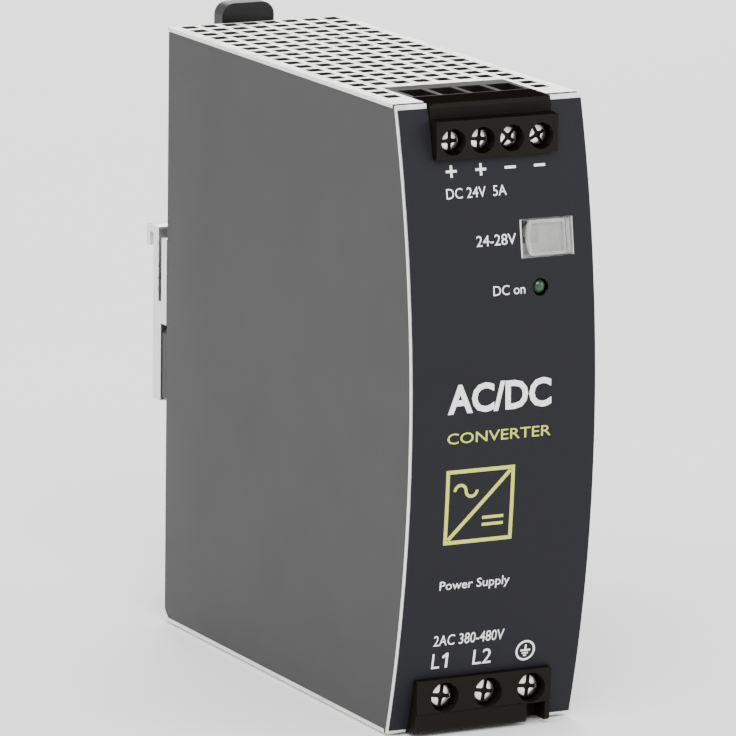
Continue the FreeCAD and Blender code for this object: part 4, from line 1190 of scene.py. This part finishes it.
def cover_screws():
    """Four pan-head screws with cross recesses in the back wall, and their shanks."""
    head, high, arm = 2.75 * MM, 1.9 * MM, 0.7 * MM
    curve = [(0.0, 1.0), (0.45, 0.97), (0.75, 0.86), (0.93, 0.62), (1.0, 0.3), (1.0, 0.0)]
    places = [(side * SCREW_X, z) for side in (-1, 1) for z in (BASE + SCREW_IN, TOP - SCREW_IN)]
    pieces = []
    for x, z in places:
        bm = bmesh.new()
        rings = lathe(bm, x, z, [(head * reach, REAR + high * share) for reach, share in curve], 36)
        bm.faces.new(rings[-1])
        turn = Matrix.Translation((x, 0, z)) @ Matrix.Rotation(0.5 + x * 60 + z * 9, 4, "Y")
        tools = []
        for wide, tall in ((arm, 3.0 * MM), (3.0 * MM, arm)):
            cutter = bmesh.new()
            add_box(cutter, (-wide / 2, REAR + 0.9 * MM, -tall / 2),
                    (wide / 2, REAR + 3 * MM, tall / 2), turn)
            tools.append(to_mesh("tool", cutter))
        pieces.append(carved("head", to_mesh("head", bm), tools))
    bm = bmesh.new()
    for mesh in pieces:
        bm.from_mesh(mesh)
    for x, z in places:
        add_prism(bm, circle(x, z, 1.5 * MM, 24), REAR - 6 * MM, REAR + 0.2 * MM, "y")
    show("cover_screw_heads", to_mesh("cover_screw_heads", bm, tidy=False), PLATED, "housing",
         ("cover_screws",), 0.05 * MM)


rail_bracket()
latch()
latch_spring()
latch_guide()
cover_screws()
block("spring_rest", "spring_stop", BLACK, 0.2 * MM)

# ---------------------------------------------------------------- inside

CAD_FINISH = {
    "main_board": BOARD, "control_board": BOARD, "insulation_foil": FILM,
    "board_spacers": FILM, "board_screws": PLATED, "bracket_screws": PLATED, "earth_screw": PLATED,
    "earth_strap": TIN, "output_bars": TIN, "input_bars": TIN, "input_fuses": CASE_GREY,
    "surge_discs": DIPPED, "inrush_thermistor": FERRITE, "line_choke_core": FERRITE,
    "output_choke_core": FERRITE,
    "line_choke_winding": ENAMEL, "output_choke_winding": ENAMEL, "filter_capacitors": CASE_GREY,
    "bridge_rectifier": BLACK, "bulk_capacitors": SLEEVE, "output_capacitors": SLEEVE,
    "transformer_core": FERRITE, "transformer_coil": TAPE, "heat_spreader": ALUMINIUM,
    "power_transistors": BLACK, "output_rectifiers": BLACK, "optocouplers": BLACK,
}
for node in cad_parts:
    if "_cage_" in node:
        CAD_FINISH[node] = STEEL
for node, material in CAD_FINISH.items():
    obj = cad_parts[node]
    obj.data.materials.clear()
    obj.data.materials.append(material)

# ---------------------------------------------------------------- studio

FLOOR_Z = min(LATCH_LOW.z, BASE)


def floor():
    """Pale sweep: a wide floor that curves up behind the part."""
    reach, rise, bend = 6.0, 6.0, 1.5
    steps, level = 16, FLOOR_Z - 0.0005
    turns = [math.pi / 2 * k / steps for k in range(steps + 1)]
    profile = [(-reach, level)]
    profile += [(reach - bend + bend * math.sin(turn), level + bend * (1 - math.cos(turn)))
                for turn in turns]
    profile.append((reach, rise))
    bm = bmesh.new()
    rows = [[bm.verts.new((x, y, z)) for y, z in profile] for x in (-reach, reach)]
    for k in range(len(profile) - 1):
        bm.faces.new((rows[0][k], rows[1][k], rows[1][k + 1], rows[0][k + 1]))
    mesh = to_mesh("studio_floor", bm)
    for face in mesh.polygons:
        face.use_smooth = True
    material, tree, bsdf = shader("studio_paper", Roughness=0.9)
    cloud = use(tree, CLOUD, Scale=3.0)["Mask"]
    tree.links.new(blend_colour(tree, cloud, rgba(0.93, 0.93, 0.93), rgba(0.96, 0.96, 0.96)),
                   bsdf.inputs["Base Color"])
    mesh.materials.append(material)
    obj = bpy.data.objects.new("studio_floor", mesh)
    bpy.context.scene.collection.objects.link(obj)


def lamp(name, place, target, power, size, shape="RECTANGLE", tall=None):
    light = bpy.data.lights.new(name, "AREA")
    light.energy, light.size, light.shape = power, size, shape
    light.size_y = tall or size
    obj = bpy.data.objects.new(name, light)
    obj.location = place
    obj.rotation_euler = (Vector(target) - Vector(place)).to_track_quat("-Z", "Y").to_euler()
    bpy.context.scene.collection.objects.link(obj)
    return obj


floor()
AIM = (0.0, -0.055, 0.0)
lamp("key_light", (-0.35, -1.0, 1.15), AIM, 20.0, 0.9)
lamp("fill_light", (1.1, -0.9, 0.5), AIM, 9.0, 0.8)
lamp("left_light", (-1.2, 0.1, 0.55), AIM, 9.0, 0.8)
lamp("back_light", (0.5, 1.1, 0.9), AIM, 12.0, 0.7)

world = bpy.data.worlds.new("studio_world")
bpy.context.scene.world = world
world.use_nodes = True
background = world.node_tree.nodes["Background"]
background.inputs["Color"].default_value = (1.0, 1.0, 1.0, 1.0)
background.inputs["Strength"].default_value = 1.15

camera_data = bpy.data.cameras.new("studio_camera")
camera_data.lens = 341.56
camera_data.sensor_width = 36.0
camera = bpy.data.objects.new("studio_camera", camera_data)
RIGHT = Vector((0.89256, -0.45074, 0.01305))
DOWN = Vector((-0.08104, -0.18881, -0.97866))
AHEAD = Vector((0.44359, 0.87246, -0.20505))
turn = Matrix((RIGHT, -DOWN, -AHEAD)).transposed().to_4x4()
camera.matrix_world = Matrix.Translation((-0.61959, -1.27756, 0.28551)) @ turn
bpy.context.scene.collection.objects.link(camera)
bpy.context.scene.camera = camera
